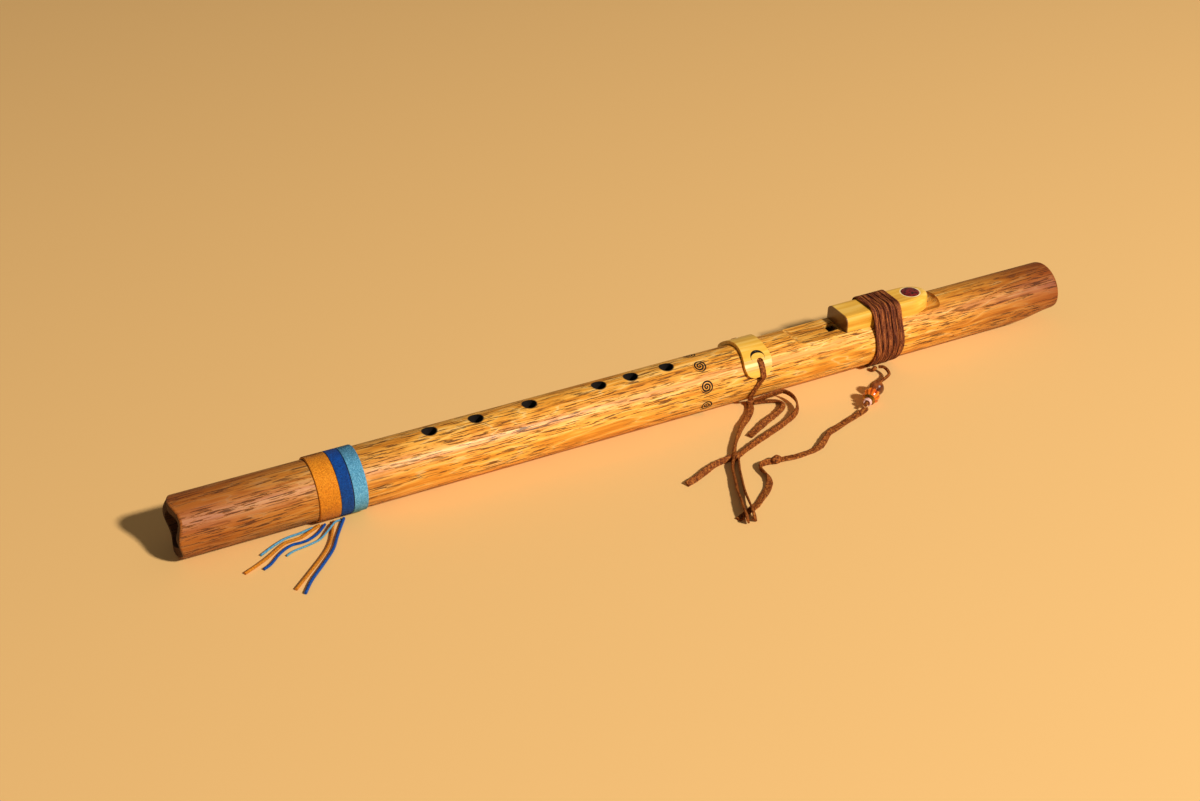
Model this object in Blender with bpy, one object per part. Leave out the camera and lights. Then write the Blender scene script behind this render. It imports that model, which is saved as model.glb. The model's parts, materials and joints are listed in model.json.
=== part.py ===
"""Native american flute with its block, saddle, leather laces, beads and thread bands.

Metres, +Z up. The barrel lies along X, foot at -X, mouth at +X, the finger holes up.
The floor under the laces is z = 0. Angles round the barrel run from the top toward -Y.
"""

import math

import bmesh
import bpy
import numpy as np

# Barrel
BARREL_LENGTH = 0.571
BARREL_RADIUS = 0.017
BORE_RADIUS = 0.011
SOUND_CHAMBER_END = 0.413
CHAMBER_WALL = 0.013
AIR_CHAMBER_END = 0.556
BLOW_HOLE_RADIUS = 0.0043
FINGER_HOLES = (0.1455, 0.1731, 0.2057, 0.2493, 0.2698, 0.2932)
FINGER_HOLE_RADIUS = 0.004
BARREL_SEGMENTS = 72

# Foot and mouth
FOOT_ROUND = 0.0015
SCALLOP_TOP = 0.0026
SCALLOP_UNDER = 0.0016
SCALLOPS = 4
MOUTH_ROUND = 0.002
LIP_LENGTH = 0.031
LIP_DEPTH = 0.0033

# Nest, sound hole and flue
NEST_HEIGHT = 0.0135
NEST_START = 0.384
NEST_END = 0.479
NEST_START_RADIUS = 0.0134
NEST_END_RADIUS = 0.004
SOUND_HOLE_LENGTH = 0.0086
SOUND_HOLE_WIDTH = 0.0089
FLUE_DEPTH = 0.0008
EXIT_HOLE_START = 0.430
EXIT_HOLE_LENGTH = 0.008

# Block and stone
BLOCK_START = 0.4115
BLOCK_LENGTH = 0.065
BLOCK_WIDTH = 0.021
BLOCK_HEIGHT = 0.0097
BLOCK_EDGE = 0.004
BLOCK_REAR = 0.0165
STONE_RADIUS = 0.0055
STONE_FROM_REAR = 0.012
STONE_DEPTH = 0.002
STONE_RIM = 0.0002
STONE_DOME = 0.0007

# Leather
FIT = 0.0003
LACE_WIDTH = 0.0037
LACE_THICKNESS = 0.0013
LACE_PITCH = 0.00415
LACE_TURNS = 5
LACE_FIRST = 0.4482
LACE_FLAT = 0.0005
LACE_START_ANGLE = 205
LACE_END_ANGLE = 145
ADVANCE_FROM = 95
ADVANCE_TO = 215
THONG_WIDTH = 0.0034
THONG_THICKNESS = 0.0008
STRAND_WIDTH = 0.0034
STRAND_THICKNESS = 0.0012
BEAD_LACE_RADIUS = 0.001
FLOOR_GAP = 0.00005

# Saddle
SADDLE_THICKNESS = 0.0022
SADDLE_HOLE = 0.3484
SADDLE_HOLE_RADIUS = 0.0021
SADDLE_HOLE_ANGLE = 47.5
CRESCENT_CENTRE = 0.3478
CRESCENT_ANGLE = 39
CRESCENT_RADIUS = 0.0045
CRESCENT_DEPTH = 0.0006

# Thread bands
BAND_THICKNESS = 0.0009
BANDS = (
    ("band_orange", 0.0754, 0.0117, "thread_orange"),
    ("band_blue", 0.0874, 0.0067, "thread_blue"),
    ("band_light_blue", 0.0944, 0.0080, "thread_light_blue"),
)

# Beads, from the lacing outward
BEAD_BORE = BEAD_LACE_RADIUS + FIT
WOOD_BEAD_RADIUS = 0.00465
MELON_BEAD_RADIUS = 0.0051
CAP_RADIUS = 0.004
CAP_THICKNESS = 0.0007
SMALL_BEAD_RADIUS = 0.0027
SMALL_BEAD_LENGTH = 0.0026
BEAD_START = (0.1324, -0.0365, 0.00515)
BEAD_DIRECTION = (-0.79, -0.61, 0.0)

# Places that follow from the sizes above
AXIS_HEIGHT = BARREL_RADIUS + FIT + LACE_THICKNESS - LACE_FLAT
FOOT_X = -BARREL_LENGTH / 2
BLOCK_TOP = NEST_HEIGHT + BLOCK_HEIGHT
BLOCK_CORNER = (BLOCK_WIDTH / 2 - BLOCK_EDGE, BLOCK_TOP - BLOCK_EDGE)

COLOURS = {
    "oak": ((0.45, 0.19, 0.05), 0.3, 0.0),
    "pale_wood": ((0.78, 0.50, 0.16), 0.3, 0.0),
    "stone": ((0.16, 0.01, 0.01), 0.15, 0.0),
    "leather": ((0.20, 0.05, 0.015), 0.6, 0.0),
    "bead_wood": ((0.27, 0.08, 0.02), 0.3, 0.0),
    "bead_melon": ((0.68, 0.18, 0.01), 0.25, 0.0),
    "bead_gold": ((0.45, 0.30, 0.10), 0.35, 1.0),
    "bead_pink": ((0.75, 0.45, 0.40), 0.25, 0.0),
    "thread_orange": ((0.85, 0.32, 0.01), 0.8, 0.0),
    "thread_blue": ((0.01, 0.08, 0.50), 0.8, 0.0),
    "thread_light_blue": ((0.10, 0.40, 0.62), 0.8, 0.0),
}


def material(name):
    """The Principled material of this name, made once."""
    if name in bpy.data.materials:
        return bpy.data.materials[name]
    made = bpy.data.materials.new(name)
    made.use_nodes = True
    colour, roughness, metallic = COLOURS[name]
    shader = made.node_tree.nodes["Principled BSDF"]
    shader.inputs["Base Color"].default_value = (*colour, 1.0)
    shader.inputs["Roughness"].default_value = roughness
    shader.inputs["Metallic"].default_value = metallic
    return made


def solid(name, vertices, faces, slot=None, origin=(0.0, 0.0, 0.0)):
    """A closed mesh object with its faces turned out. vertices are in the world."""
    placed = np.asarray(vertices, float) - np.asarray(origin, float)
    mesh = bpy.data.meshes.new(name)
    mesh.from_pydata(placed.tolist(), [], faces)
    shape = bmesh.new()
    shape.from_mesh(mesh)
    bmesh.ops.recalc_face_normals(shape, faces=shape.faces)
    shape.to_mesh(mesh)
    shape.free()
    made = bpy.data.objects.new(name, mesh)
    made.location = origin
    bpy.context.scene.collection.objects.link(made)
    if slot is None:
        made.hide_render = True
        made.display_type = "WIRE"
    else:
        mesh.materials.append(material(slot))
        mesh.shade_smooth()
        mesh.set_sharp_from_angle(angle=math.radians(35))
    return made


def cut(target, cutter, operation="DIFFERENCE"):
    """A live exact boolean on target."""
    step = target.modifiers.new(cutter.name, "BOOLEAN")
    step.operation = operation
    step.solver = "EXACT"
    step.object = cutter


def box(name, low, high):
    """A cutting box between two corners."""
    corners = [(x, y, z) for x in (low[0], high[0]) for y in (low[1], high[1]) for z in (low[2], high[2])]
    faces = [(0, 1, 3, 2), (4, 6, 7, 5), (0, 4, 5, 1), (2, 3, 7, 6), (0, 2, 6, 4), (1, 5, 7, 3)]
    return solid(name, corners, faces)


def around(station, angle, radius):
    """World point at a distance from the foot, an angle from the top toward -Y and a radius."""
    turn = math.radians(angle)
    x = FOOT_X + station
    return (x, -radius * math.sin(turn), AXIS_HEIGHT + radius * math.cos(turn))


def lathe(name, centre, axis, profile, segments, slot=None, origin=None, ribs=0, rib_depth=0.0):
    """A solid of revolution about axis through centre. profile is (along, radius) pairs, closed round a bore
    or between two ends on the axis. ribs pull the radius in by rib_depth between them."""
    centre = np.asarray(centre, float)
    along = np.asarray(axis, float) / np.linalg.norm(axis)
    helper = np.array((0.0, 0.0, 1.0)) if abs(along[2]) < 0.9 else np.array((1.0, 0.0, 0.0))
    side = np.cross(along, helper)
    side /= np.linalg.norm(side)
    up = np.cross(side, along)
    bored = all(radius > 0 for _, radius in profile)
    vertices = []
    rings = []
    for distance, radius in profile:
        if radius == 0:
            rings.append([len(vertices)])
            vertices.append(centre + along * distance)
            continue
        ring = []
        for step in range(segments):
            turn = 2 * math.pi * (step + 0.5) / segments
            groove = rib_depth * (1 - abs(math.cos(ribs * turn / 2))) if ribs and radius > BEAD_BORE * 1.5 else 0.0
            out = radius - groove
            ring.append(len(vertices))
            vertices.append(centre + along * distance + out * (side * math.cos(turn) + up * math.sin(turn)))
        rings.append(ring)
    faces = []
    pairs = list(zip(rings, rings[1:]))
    if bored:
        pairs.append((rings[-1], rings[0]))
    for first, second in pairs:
        for step in range(segments):
            after = (step + 1) % segments
            if len(first) == 1:
                faces.append((first[0], second[step], second[after]))
            elif len(second) == 1:
                faces.append((first[step], second[0], first[after]))
            else:
                faces.append((first[step], second[step], second[after], first[after]))
    return solid(name, vertices, faces, slot, centre if origin is None else origin)


def rod(name, start, end, radius, segments=48):
    """A round cutter between two points."""
    start = np.asarray(start, float)
    length = float(np.linalg.norm(np.asarray(end) - start))
    profile = [(0, 0), (0, radius), (length, radius), (length, 0)]
    return lathe(name, start, np.asarray(end) - start, profile, segments)


def smooth(points, spacing):
    """A Catmull-Rom curve through rows of numbers, resampled about every spacing of its first three columns."""
    rows = np.asarray(points, float)
    padded = np.vstack([2 * rows[0] - rows[1], rows, 2 * rows[-1] - rows[-2]])
    fine = []
    for i in range(1, len(padded) - 2):
        p0, p1, p2, p3 = padded[i - 1 : i + 3]
        for t in np.linspace(0, 1, 24, endpoint=False):
            pull = (p2 - p0) * t + (2 * p0 - 5 * p1 + 4 * p2 - p3) * t**2 + (3 * p1 - p0 - 3 * p2 + p3) * t**3
            fine.append(p1 + 0.5 * pull)
    fine.append(padded[-2])
    fine = np.array(fine)
    run = np.concatenate([[0], np.cumsum(np.linalg.norm(np.diff(fine[:, :3], axis=0), axis=1))])
    wanted = np.linspace(0, run[-1], max(3, round(run[-1] / spacing) + 1))
    return np.column_stack([np.interp(wanted, run, column) for column in fine.T])


def sweep(name, line, across, width, thickness, slot="leather"):
    """A flat strap along line. across holds the direction of its width at each point."""
    line = np.asarray(line, float)
    along = np.gradient(line, axis=0)
    along /= np.linalg.norm(along, axis=1)[:, None]
    across = across - (across * along).sum(1)[:, None] * along
    across /= np.linalg.norm(across, axis=1)[:, None]
    normal = np.cross(along, across)
    w, t, c = width / 2, thickness / 2, thickness * 0.25
    section = [(w, t - c), (w - c, t), (c - w, t), (-w, t - c), (-w, c - t), (c - w, -t), (w - c, -t), (w, c - t)]
    vertices = [p + a * u + n * v for p, a, n in zip(line, across, normal) for u, v in section]
    count = len(section)
    faces = [tuple(range(count)), tuple(range(len(vertices) - count, len(vertices)))]
    for ring in range(len(line) - 1):
        for step in range(count):
            here = ring * count
            after = (step + 1) % count
            faces.append((here + step, here + after, here + count + after, here + count + step))
    return solid(name, vertices, faces, slot)


def off_barrel(line, reach):
    """Moves points of a cord toward -Y until it clears the barrel by the fit. reach is its half size there."""
    wanted = BARREL_RADIUS + FIT * 1.5 + reach
    for row in range(len(line)):
        drop = line[row, 2] - AXIS_HEIGHT
        if abs(drop) < wanted and line[row, 1] ** 2 + drop**2 < wanted**2:
            line[row, 1] = -math.sqrt(wanted**2 - drop**2)
    return line


def strap(name, route, width=STRAND_WIDTH, thickness=STRAND_THICKNESS, spacing=0.0026, lead=0.0, tail=0.0):
    """A strap on the table. route rows are x, y, z and roll in millimetres and degrees: roll 0 lies flat, 90 stands
    on edge. lead and tail are left free of strap at the two ends, for a knot. It never goes below the floor."""
    rows = smooth([(x / 1000, y / 1000, z / 1000, roll) for x, y, z, roll in route], spacing)
    away_start = np.linalg.norm(rows[:, :3] - rows[0, :3], axis=1)
    away_end = np.linalg.norm(rows[:, :3] - rows[-1, :3], axis=1)
    rows = rows[(away_start >= lead) & (away_end >= tail)]
    line = rows[:, :3].copy()
    roll = np.radians(rows[:, 3])
    reach = width / 2 * np.abs(np.sin(roll)) + thickness / 2 * np.abs(np.cos(roll)) + FLOOR_GAP
    line[:, 2] = np.maximum(line[:, 2], reach)
    line = off_barrel(line, width / 2 + FLOOR_GAP)
    along = np.gradient(line, axis=0)
    level = np.cross(along, (0.0, 0.0, 1.0))
    level /= np.linalg.norm(level, axis=1)[:, None]
    across = level * np.cos(roll)[:, None] + np.array((0.0, 0.0, 1.0)) * np.sin(roll)[:, None]
    return sweep(name, line, across, width, thickness)


def round_cord(name, route, radius, slot, spacing_radii=5, lead=0.0, tail=0.0):
    """A round cord through route points in millimetres, as a poly curve with filled ends."""
    rows = smooth([(x / 1000, y / 1000, z / 1000) for x, y, z in route], radius * spacing_radii)
    away_start = np.linalg.norm(rows - rows[0], axis=1)
    away_end = np.linalg.norm(rows - rows[-1], axis=1)
    rows = rows[(away_start >= lead) & (away_end >= tail)]
    rows[:, 2] = np.maximum(rows[:, 2], radius + FLOOR_GAP)
    rows = off_barrel(rows, radius + LACE_THICKNESS)
    curve = bpy.data.curves.new(name, "CURVE")
    curve.dimensions = "3D"
    curve.bevel_depth = radius
    curve.bevel_resolution = 1
    curve.use_fill_caps = True
    spline = curve.splines.new("POLY")
    spline.points.add(len(rows) - 1)
    for point, row in zip(spline.points, rows):
        point.co = (*row, 1.0)
    curve.materials.append(material(slot))
    made = bpy.data.objects.new(name, curve)
    bpy.context.scene.collection.objects.link(made)
    return made


def knot(name, centre, radii, turn=0.0):
    """A knot of leather as a lumpy ball. centre and radii in millimetres, turn about Z in degrees."""
    centre = np.asarray(centre, float) / 1000
    radii = np.asarray(radii, float) / 1000
    rounds, segments = 9, 16
    vertices = [(0.0, 0.0, -1.0)]
    for ring in range(1, rounds):
        tilt = math.pi * ring / rounds
        for step in range(segments):
            angle = 2 * math.pi * step / segments
            bulge = 1 - 0.07 * (1 + math.cos(3 * angle + 4 * tilt))
            spread = math.sin(tilt) * bulge
            vertices.append((spread * math.cos(angle), spread * math.sin(angle), -math.cos(tilt)))
    vertices.append((0.0, 0.0, 1.0))
    faces = []
    for step in range(segments):
        after = (step + 1) % segments
        faces.append((0, 1 + after, 1 + step))
        for ring in range(rounds - 2):
            here = 1 + ring * segments
            faces.append((here + step, here + after, here + segments + after, here + segments + step))
        top = 1 + (rounds - 2) * segments
        faces.append((top + step, top + after, len(vertices) - 1))
    shape = np.array(vertices) * radii
    c, s = math.cos(math.radians(turn)), math.sin(math.radians(turn))
    turned = np.column_stack([shape[:, 0] * c - shape[:, 1] * s, shape[:, 0] * s + shape[:, 1] * c, shape[:, 2]])
    return solid(name, turned + centre, faces, "leather")


def ease(t):
    """Smooth step from 0 to 1."""
    t = min(max(t, 0.0), 1.0)
    return t * t * (3 - 2 * t)


def lip(station, angle):
    """How far the underside of the mouth end is cut back at this place."""
    along = ease(max((station - (BARREL_LENGTH - LIP_LENGTH)) / LIP_LENGTH, 0.0) ** 1.25)
    under = ease((abs((angle + 180) % 360 - 180) - 90) / 55)
    return LIP_DEPTH * along * under


def scallop(angle):
    """How far the foot rim is cut back at this angle."""
    depth = SCALLOP_TOP if math.cos(math.radians(angle)) > 0 else SCALLOP_UNDER
    return depth * (1 - math.cos(math.radians(SCALLOPS * angle))) / 2


def barrel_blank(name, slot):
    """The whole barrel without its holes."""
    angles = [360 * (step + 0.5) / BARREL_SEGMENTS for step in range(BARREL_SEGMENTS)]
    rings = [[(scallop(a), a, BORE_RADIUS * 0.7) for a in angles]]
    for step in range(4):
        turn = math.pi / 2 * step / 3
        x = FOOT_ROUND * (1 - math.cos(turn))
        r = BARREL_RADIUS - FOOT_ROUND * (1 - math.sin(turn))
        rings.append([(scallop(a) + x, a, r) for a in angles])
    for back in np.linspace(LIP_LENGTH, MOUTH_ROUND, 10):
        x = BARREL_LENGTH - back
        rings.append([(x, a, BARREL_RADIUS - lip(x, a)) for a in angles])
    for step in range(1, 4):
        turn = math.pi / 2 * step / 3
        x = BARREL_LENGTH - MOUTH_ROUND * (1 - math.sin(turn))
        r = BARREL_RADIUS - MOUTH_ROUND * (1 - math.cos(turn))
        rings.append([(x, a, r - lip(BARREL_LENGTH - MOUTH_ROUND, a)) for a in angles])
    vertices = [around(*place) for ring in rings for place in ring]
    n = BARREL_SEGMENTS
    faces = []
    for ring in range(len(rings) - 1):
        for step in range(n):
            after = (step + 1) % n
            here = ring * n
            faces.append((here + step, here + after, here + n + after, here + n + step))
    foot = len(vertices)
    vertices.append(around(0, 0, 0))
    mouth = len(vertices)
    vertices.append(around(BARREL_LENGTH, 0, 0))
    last = (len(rings) - 1) * n
    for step in range(n):
        after = (step + 1) % n
        faces.append((foot, after, step))
        faces.append((mouth, last + step, last + after))
    return solid(name, vertices, faces, slot)


def nest_cutter():
    """The flat nest with a run-out at each end, as a prism across the barrel."""
    tall = BARREL_RADIUS - NEST_HEIGHT + 0.002
    outline = []
    for start, radius, way in ((NEST_START, NEST_START_RADIUS, -1), (NEST_END, NEST_END_RADIUS, 1)):
        sweep_to = math.acos(max(1 - tall / radius, -0.2))
        arc = [sweep_to * step / 10 for step in range(11)]
        run = [(start + way * radius * math.sin(a), NEST_HEIGHT + radius * (1 - math.cos(a))) for a in arc]
        outline.append(run)
    left, right = outline
    left = left[::-1] + right
    left.append((right[-1][0] + 0.001, BARREL_RADIUS + 0.02))
    left.append((left[0][0] - 0.001, BARREL_RADIUS + 0.02))
    count = len(left)
    vertices = []
    for y in (-BARREL_RADIUS * 1.2, BARREL_RADIUS * 1.2):
        vertices += [(FOOT_X + x, y, AXIS_HEIGHT + z) for x, z in left]
    faces = [tuple(range(count)), tuple(range(count, 2 * count))]
    faces += [(i, (i + 1) % count, count + (i + 1) % count, count + i) for i in range(count)]
    return solid("cut_nest", vertices, faces)


def barrel():
    """Both glued halves, cut from the same blank."""
    past = 0.01
    wide = BARREL_RADIUS * 2
    upper = barrel_blank("body_upper_half", "oak")
    lower = barrel_blank("body_lower_half", "oak")
    low_box = box("keep_upper", (FOOT_X - past, -wide, AXIS_HEIGHT), (-FOOT_X + past, wide, AXIS_HEIGHT + wide))
    high_box = box("keep_lower", (FOOT_X - past, -wide, AXIS_HEIGHT - wide), (-FOOT_X + past, wide, AXIS_HEIGHT))
    cut(upper, low_box, "INTERSECT")
    cut(lower, high_box, "INTERSECT")
    air_start = SOUND_CHAMBER_END + CHAMBER_WALL
    inside = (
        rod("cut_sound_chamber", around(-past, 0, 0), around(SOUND_CHAMBER_END, 0, 0), BORE_RADIUS),
        rod("cut_air_chamber", around(air_start, 0, 0), around(AIR_CHAMBER_END, 0, 0), BORE_RADIUS),
        rod("cut_blow_hole", around(AIR_CHAMBER_END - 0.004, 0, 0), around(BARREL_LENGTH + past, 0, 0), BLOW_HOLE_RADIUS, 24),
    )
    for cutter in inside:
        cut(upper, cutter)
        cut(lower, cutter)
    cut(upper, nest_cutter())
    high = BARREL_RADIUS + past
    for number, station in enumerate(FINGER_HOLES, 1):
        name = f"cut_finger_hole_{number}"
        cut(upper, rod(name, around(station, 0, BORE_RADIUS * 0.5), around(station, 0, high), FINGER_HOLE_RADIUS, 28))
    top = AXIS_HEIGHT + high
    deep = AXIS_HEIGHT + BORE_RADIUS * 0.5
    floor = AXIS_HEIGHT + NEST_HEIGHT - FLUE_DEPTH
    half = SOUND_HOLE_WIDTH / 2
    hole_start = FOOT_X + BLOCK_START - SOUND_HOLE_LENGTH
    hole_end = FOOT_X + BLOCK_START
    cut(upper, box("cut_sound_hole", (hole_start, -half, deep), (hole_end, half, top)))
    exit_start = FOOT_X + EXIT_HOLE_START
    exit_end = exit_start + EXIT_HOLE_LENGTH
    cut(upper, box("cut_exit_hole", (exit_start, -half, deep), (exit_end, half, top)))
    side = half - FIT
    cut(upper, box("cut_flue", (hole_end - 0.001, -side, floor), (exit_start + 0.001, side, top)))


def block():
    """The sliding block and its stone."""
    half = BLOCK_WIDTH / 2
    straight = BLOCK_LENGTH - BLOCK_REAR
    outline = [((0.0, -half), (0.0, -1.0))]
    outline += [((straight * k / 4, -half), (0.0, -1.0)) for k in range(1, 4)]
    for step in range(25):
        turn = math.pi * step / 24 - math.pi / 2
        normal = np.array((half * math.cos(turn), BLOCK_REAR * math.sin(turn)))
        normal /= np.linalg.norm(normal)
        outline.append(((straight + BLOCK_REAR * math.cos(turn), half * math.sin(turn)), tuple(normal)))
    outline += [((straight * k / 4, half), (0.0, 1.0)) for k in (3, 2, 1, 0)]
    levels = [(NEST_HEIGHT, 0.0)]
    for step in range(6):
        turn = math.pi / 2 * step / 5
        levels.append((BLOCK_TOP - BLOCK_EDGE * (1 - math.sin(turn)), BLOCK_EDGE * (1 - math.cos(turn))))
    vertices = []
    for height, inset in levels:
        for (x, y), (nx, ny) in outline:
            place = (FOOT_X + BLOCK_START + x - inset * nx, y - inset * ny, AXIS_HEIGHT + height)
            vertices.append(place)
    n = len(outline)
    faces = [tuple(range(n)), tuple(range(len(vertices) - n, len(vertices)))]
    for level in range(len(levels) - 1):
        here = level * n
        faces += [(here + i, here + i + 1, here + n + i + 1, here + n + i) for i in range(n - 1)]
    front = [level * n for level in range(len(levels))]
    back = [level * n + n - 1 for level in range(len(levels))]
    faces.append(tuple(front + back[::-1]))
    made = solid("block", vertices, faces, "pale_wood", (FOOT_X + BLOCK_START + BLOCK_LENGTH / 2, 0, AXIS_HEIGHT + NEST_HEIGHT))
    x = FOOT_X + BLOCK_START + BLOCK_LENGTH - STONE_FROM_REAR
    z = AXIS_HEIGHT + BLOCK_TOP
    pocket = rod("cut_stone_pocket", (x, 0, z - STONE_DEPTH), (x, 0, z + 0.01), STONE_RADIUS + FIT, 40)
    cut(made, pocket)
    profile = [(0, 0), (0, STONE_RADIUS)]
    for step in range(6):
        turn = math.pi / 2 * step / 5
        profile.append((STONE_DEPTH + STONE_RIM + STONE_DOME * math.sin(turn), STONE_RADIUS * math.cos(turn)))
    profile[-1] = (profile[-1][0], 0)
    lathe("block_stone", (x, 0, z - STONE_DEPTH), (0, 0, 1), profile, 36, "stone")


def lace_place(angle, turn_number):
    """Station and section place of the lacing's middle line at this angle of this turn."""
    lift = FIT + LACE_THICKNESS / 2
    corner_y, corner_z = BLOCK_CORNER
    reach = math.hypot(corner_y, corner_z)
    leave = math.atan2(corner_z, corner_y) - math.acos((BARREL_RADIUS - BLOCK_EDGE) / reach)
    mirrored = (angle % 360) > 180
    part = 360 - angle % 360 if mirrored else angle % 360
    barrel_start = 90 - math.degrees(leave)
    radius = BARREL_RADIUS + lift
    if part >= barrel_start:
        y, z = radius * math.sin(math.radians(part)), radius * math.cos(math.radians(part))
    else:
        flat = corner_y
        arc = (BLOCK_EDGE + lift) * (math.pi / 2 - leave)
        slope = math.sqrt(max(reach**2 - (BARREL_RADIUS - BLOCK_EDGE) ** 2, 0))
        run = (flat + arc + slope) * part / barrel_start
        if run <= flat:
            y, z = run, BLOCK_TOP + lift
        elif run <= flat + arc:
            turn = math.pi / 2 - (run - flat) / (BLOCK_EDGE + lift)
            y = corner_y + (BLOCK_EDGE + lift) * math.cos(turn)
            z = corner_z + (BLOCK_EDGE + lift) * math.sin(turn)
        else:
            past = run - flat - arc
            y = corner_y + (BLOCK_EDGE + lift) * math.cos(leave) + past * math.sin(leave)
            z = corner_z + (BLOCK_EDGE + lift) * math.sin(leave) - past * math.cos(leave)
    if mirrored:
        y = -y
    whole = angle // 360 - turn_number
    advance = min(max((angle % 360 - ADVANCE_FROM) / (ADVANCE_TO - ADVANCE_FROM), 0), 1)
    station = LACE_FIRST - LACE_PITCH * (whole + advance - 1)
    return (FOOT_X + station, -y, AXIS_HEIGHT + z)


def lacing():
    """Five turns of one flat lace round block and barrel, pressed flat where it stands."""
    steps = [LACE_START_ANGLE]
    marks = (0, 8, 16, 24, 31, 38, 45, 52, 60, 68, 78, 90, 103, 116, 129, 142, 155, 168, 180)
    marks = marks + tuple(360 - m for m in marks[-2:0:-1])
    for whole in range(LACE_TURNS + 1):
        steps += [whole * 360 + m for m in marks]
    last = LACE_TURNS * 360 + LACE_END_ANGLE
    steps = sorted({s for s in steps if LACE_START_ANGLE <= s < last - 4} | {last})
    line = np.array([lace_place(s, 0) for s in steps])
    nearest = 1.0
    for i, point in enumerate(line):
        for j in range(i + 12, len(line)):
            nearest = min(nearest, float(np.linalg.norm(line[j] - point)))
    print(f"block_lacing: least gap to itself {(nearest - LACE_WIDTH) * 1000:.2f} mm")
    across = np.tile((1.0, 0.0, 0.0), (len(line), 1))
    made = sweep("block_lacing", line, across, LACE_WIDTH, LACE_THICKNESS)
    cut(made, floor_cutter("cut_lacing_floor"))
    knot("lacing_knot", (147.2, -13.6, 2.3), (2.2, 1.7, 1.7), 30)


def floor_cutter(name):
    """Everything below the floor."""
    wide = BARREL_RADIUS * 3
    return box(name, (FOOT_X - wide, -wide, -wide), (-FOOT_X + wide, wide, 0.0))


def saddle():
    """The curved wooden band over the barrel, with a crescent and a thong hole at each end."""
    left = ((0, 339.9), (17, 339.5), (34, 338.5), (50, 337.6), (58, 337.7), (66, 338.5), (71, 340.0), (74, 342.5))
    right = ((0, 355.1), (24, 355.8), (42, 356.5), (57, 355.7), (68, 353.9), (72, 352.2), (74, 349.6))
    inner = BARREL_RADIUS + FIT
    angles = [0, 6, 12, 18, 24, 30, 36, 42, 48, 54, 59, 63, 66, 68.5, 70.5, 72, 73.2, 74]
    angles = [-a for a in angles[:0:-1]] + angles
    columns = 4
    vertices = []
    for radius in (inner, inner + SADDLE_THICKNESS):
        for angle in angles:
            low = np.interp(abs(angle), *zip(*left)) / 1000
            high = np.interp(abs(angle), *zip(*right)) / 1000
            for k in range(columns + 1):
                vertices.append(around(low + (high - low) * k / columns, angle, radius))
    row = columns + 1
    layer = row * len(angles)
    faces = []
    for i in range(len(angles) - 1):
        for k in range(columns):
            here = i * row + k
            faces.append((here, here + 1, here + row + 1, here + row))
            faces.append((layer + here, layer + here + row, layer + here + row + 1, layer + here + 1))
        for edge in (0, columns):
            here = i * row + edge
            faces.append((here, here + row, layer + here + row, layer + here))
    for i in (0, len(angles) - 1):
        for k in range(columns):
            here = i * row + k
            faces.append((here, here + 1, layer + here + 1, layer + here))
    made = solid("saddle", vertices, faces, "pale_wood")
    outer = inner + SADDLE_THICKNESS
    for side in (1, -1):
        angle = side * SADDLE_HOLE_ANGLE
        hole = rod(f"cut_thong_hole_{side}", around(SADDLE_HOLE, angle, inner - 0.003), around(SADDLE_HOLE, angle, outer + 0.003), SADDLE_HOLE_RADIUS, 20)
        cut(made, hole)
        cut(made, crescent_cutter(side, outer))
    channel = []
    half = THONG_WIDTH / 2 + FIT
    reach = [SADDLE_HOLE_ANGLE * step / 8 for step in range(-8, 9)]
    for radius in (inner - 0.001, inner + THONG_THICKNESS + FIT):
        for angle in reach:
            channel.append(around(SADDLE_HOLE - half, angle, radius))
            channel.append(around(SADDLE_HOLE + half, angle, radius))
    n = 2 * len(reach)
    faces = [(0, 1, n + 1, n), (n - 2, n - 1, 2 * n - 1, 2 * n - 2)]
    for i in range(0, n - 2, 2):
        faces += [(i, i + 1, i + 3, i + 2), (n + i, n + i + 1, n + i + 3, n + i + 2)]
        faces += [(i, i + 2, n + i + 2, n + i), (i + 1, i + 3, n + i + 3, n + i + 1)]
    cut(made, solid("cut_thong_channel", channel, faces))


def crescent_cutter(side, outer):
    """A crescent sunk into the saddle, open toward its end."""
    deep, high = outer - CRESCENT_DEPTH, outer + 0.002
    bite = CRESCENT_RADIUS * 0.75
    outline = []
    for step in range(13):
        turn = math.radians(-20 + 220 * step / 12)
        outline.append((CRESCENT_RADIUS * math.cos(turn), CRESCENT_RADIUS * math.sin(turn)))
    for step in range(1, 12):
        turn = math.radians(200 - 220 * step / 12)
        outline.append((CRESCENT_RADIUS * 0.98 * math.cos(turn), bite * math.sin(turn) * 0.9 - CRESCENT_RADIUS * 0.08))
    vertices = []
    for radius in (deep, high):
        for along, up in outline:
            angle = CRESCENT_ANGLE - math.degrees(up / outer)
            vertices.append(around(CRESCENT_CENTRE + along, side * angle, radius))
    n = len(outline)
    faces = [tuple(range(n)), tuple(range(n, 2 * n))]
    faces += [(i, (i + 1) % n, n + (i + 1) % n, n + i) for i in range(n)]
    return solid(f"cut_crescent_{side}", vertices, faces)


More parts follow.
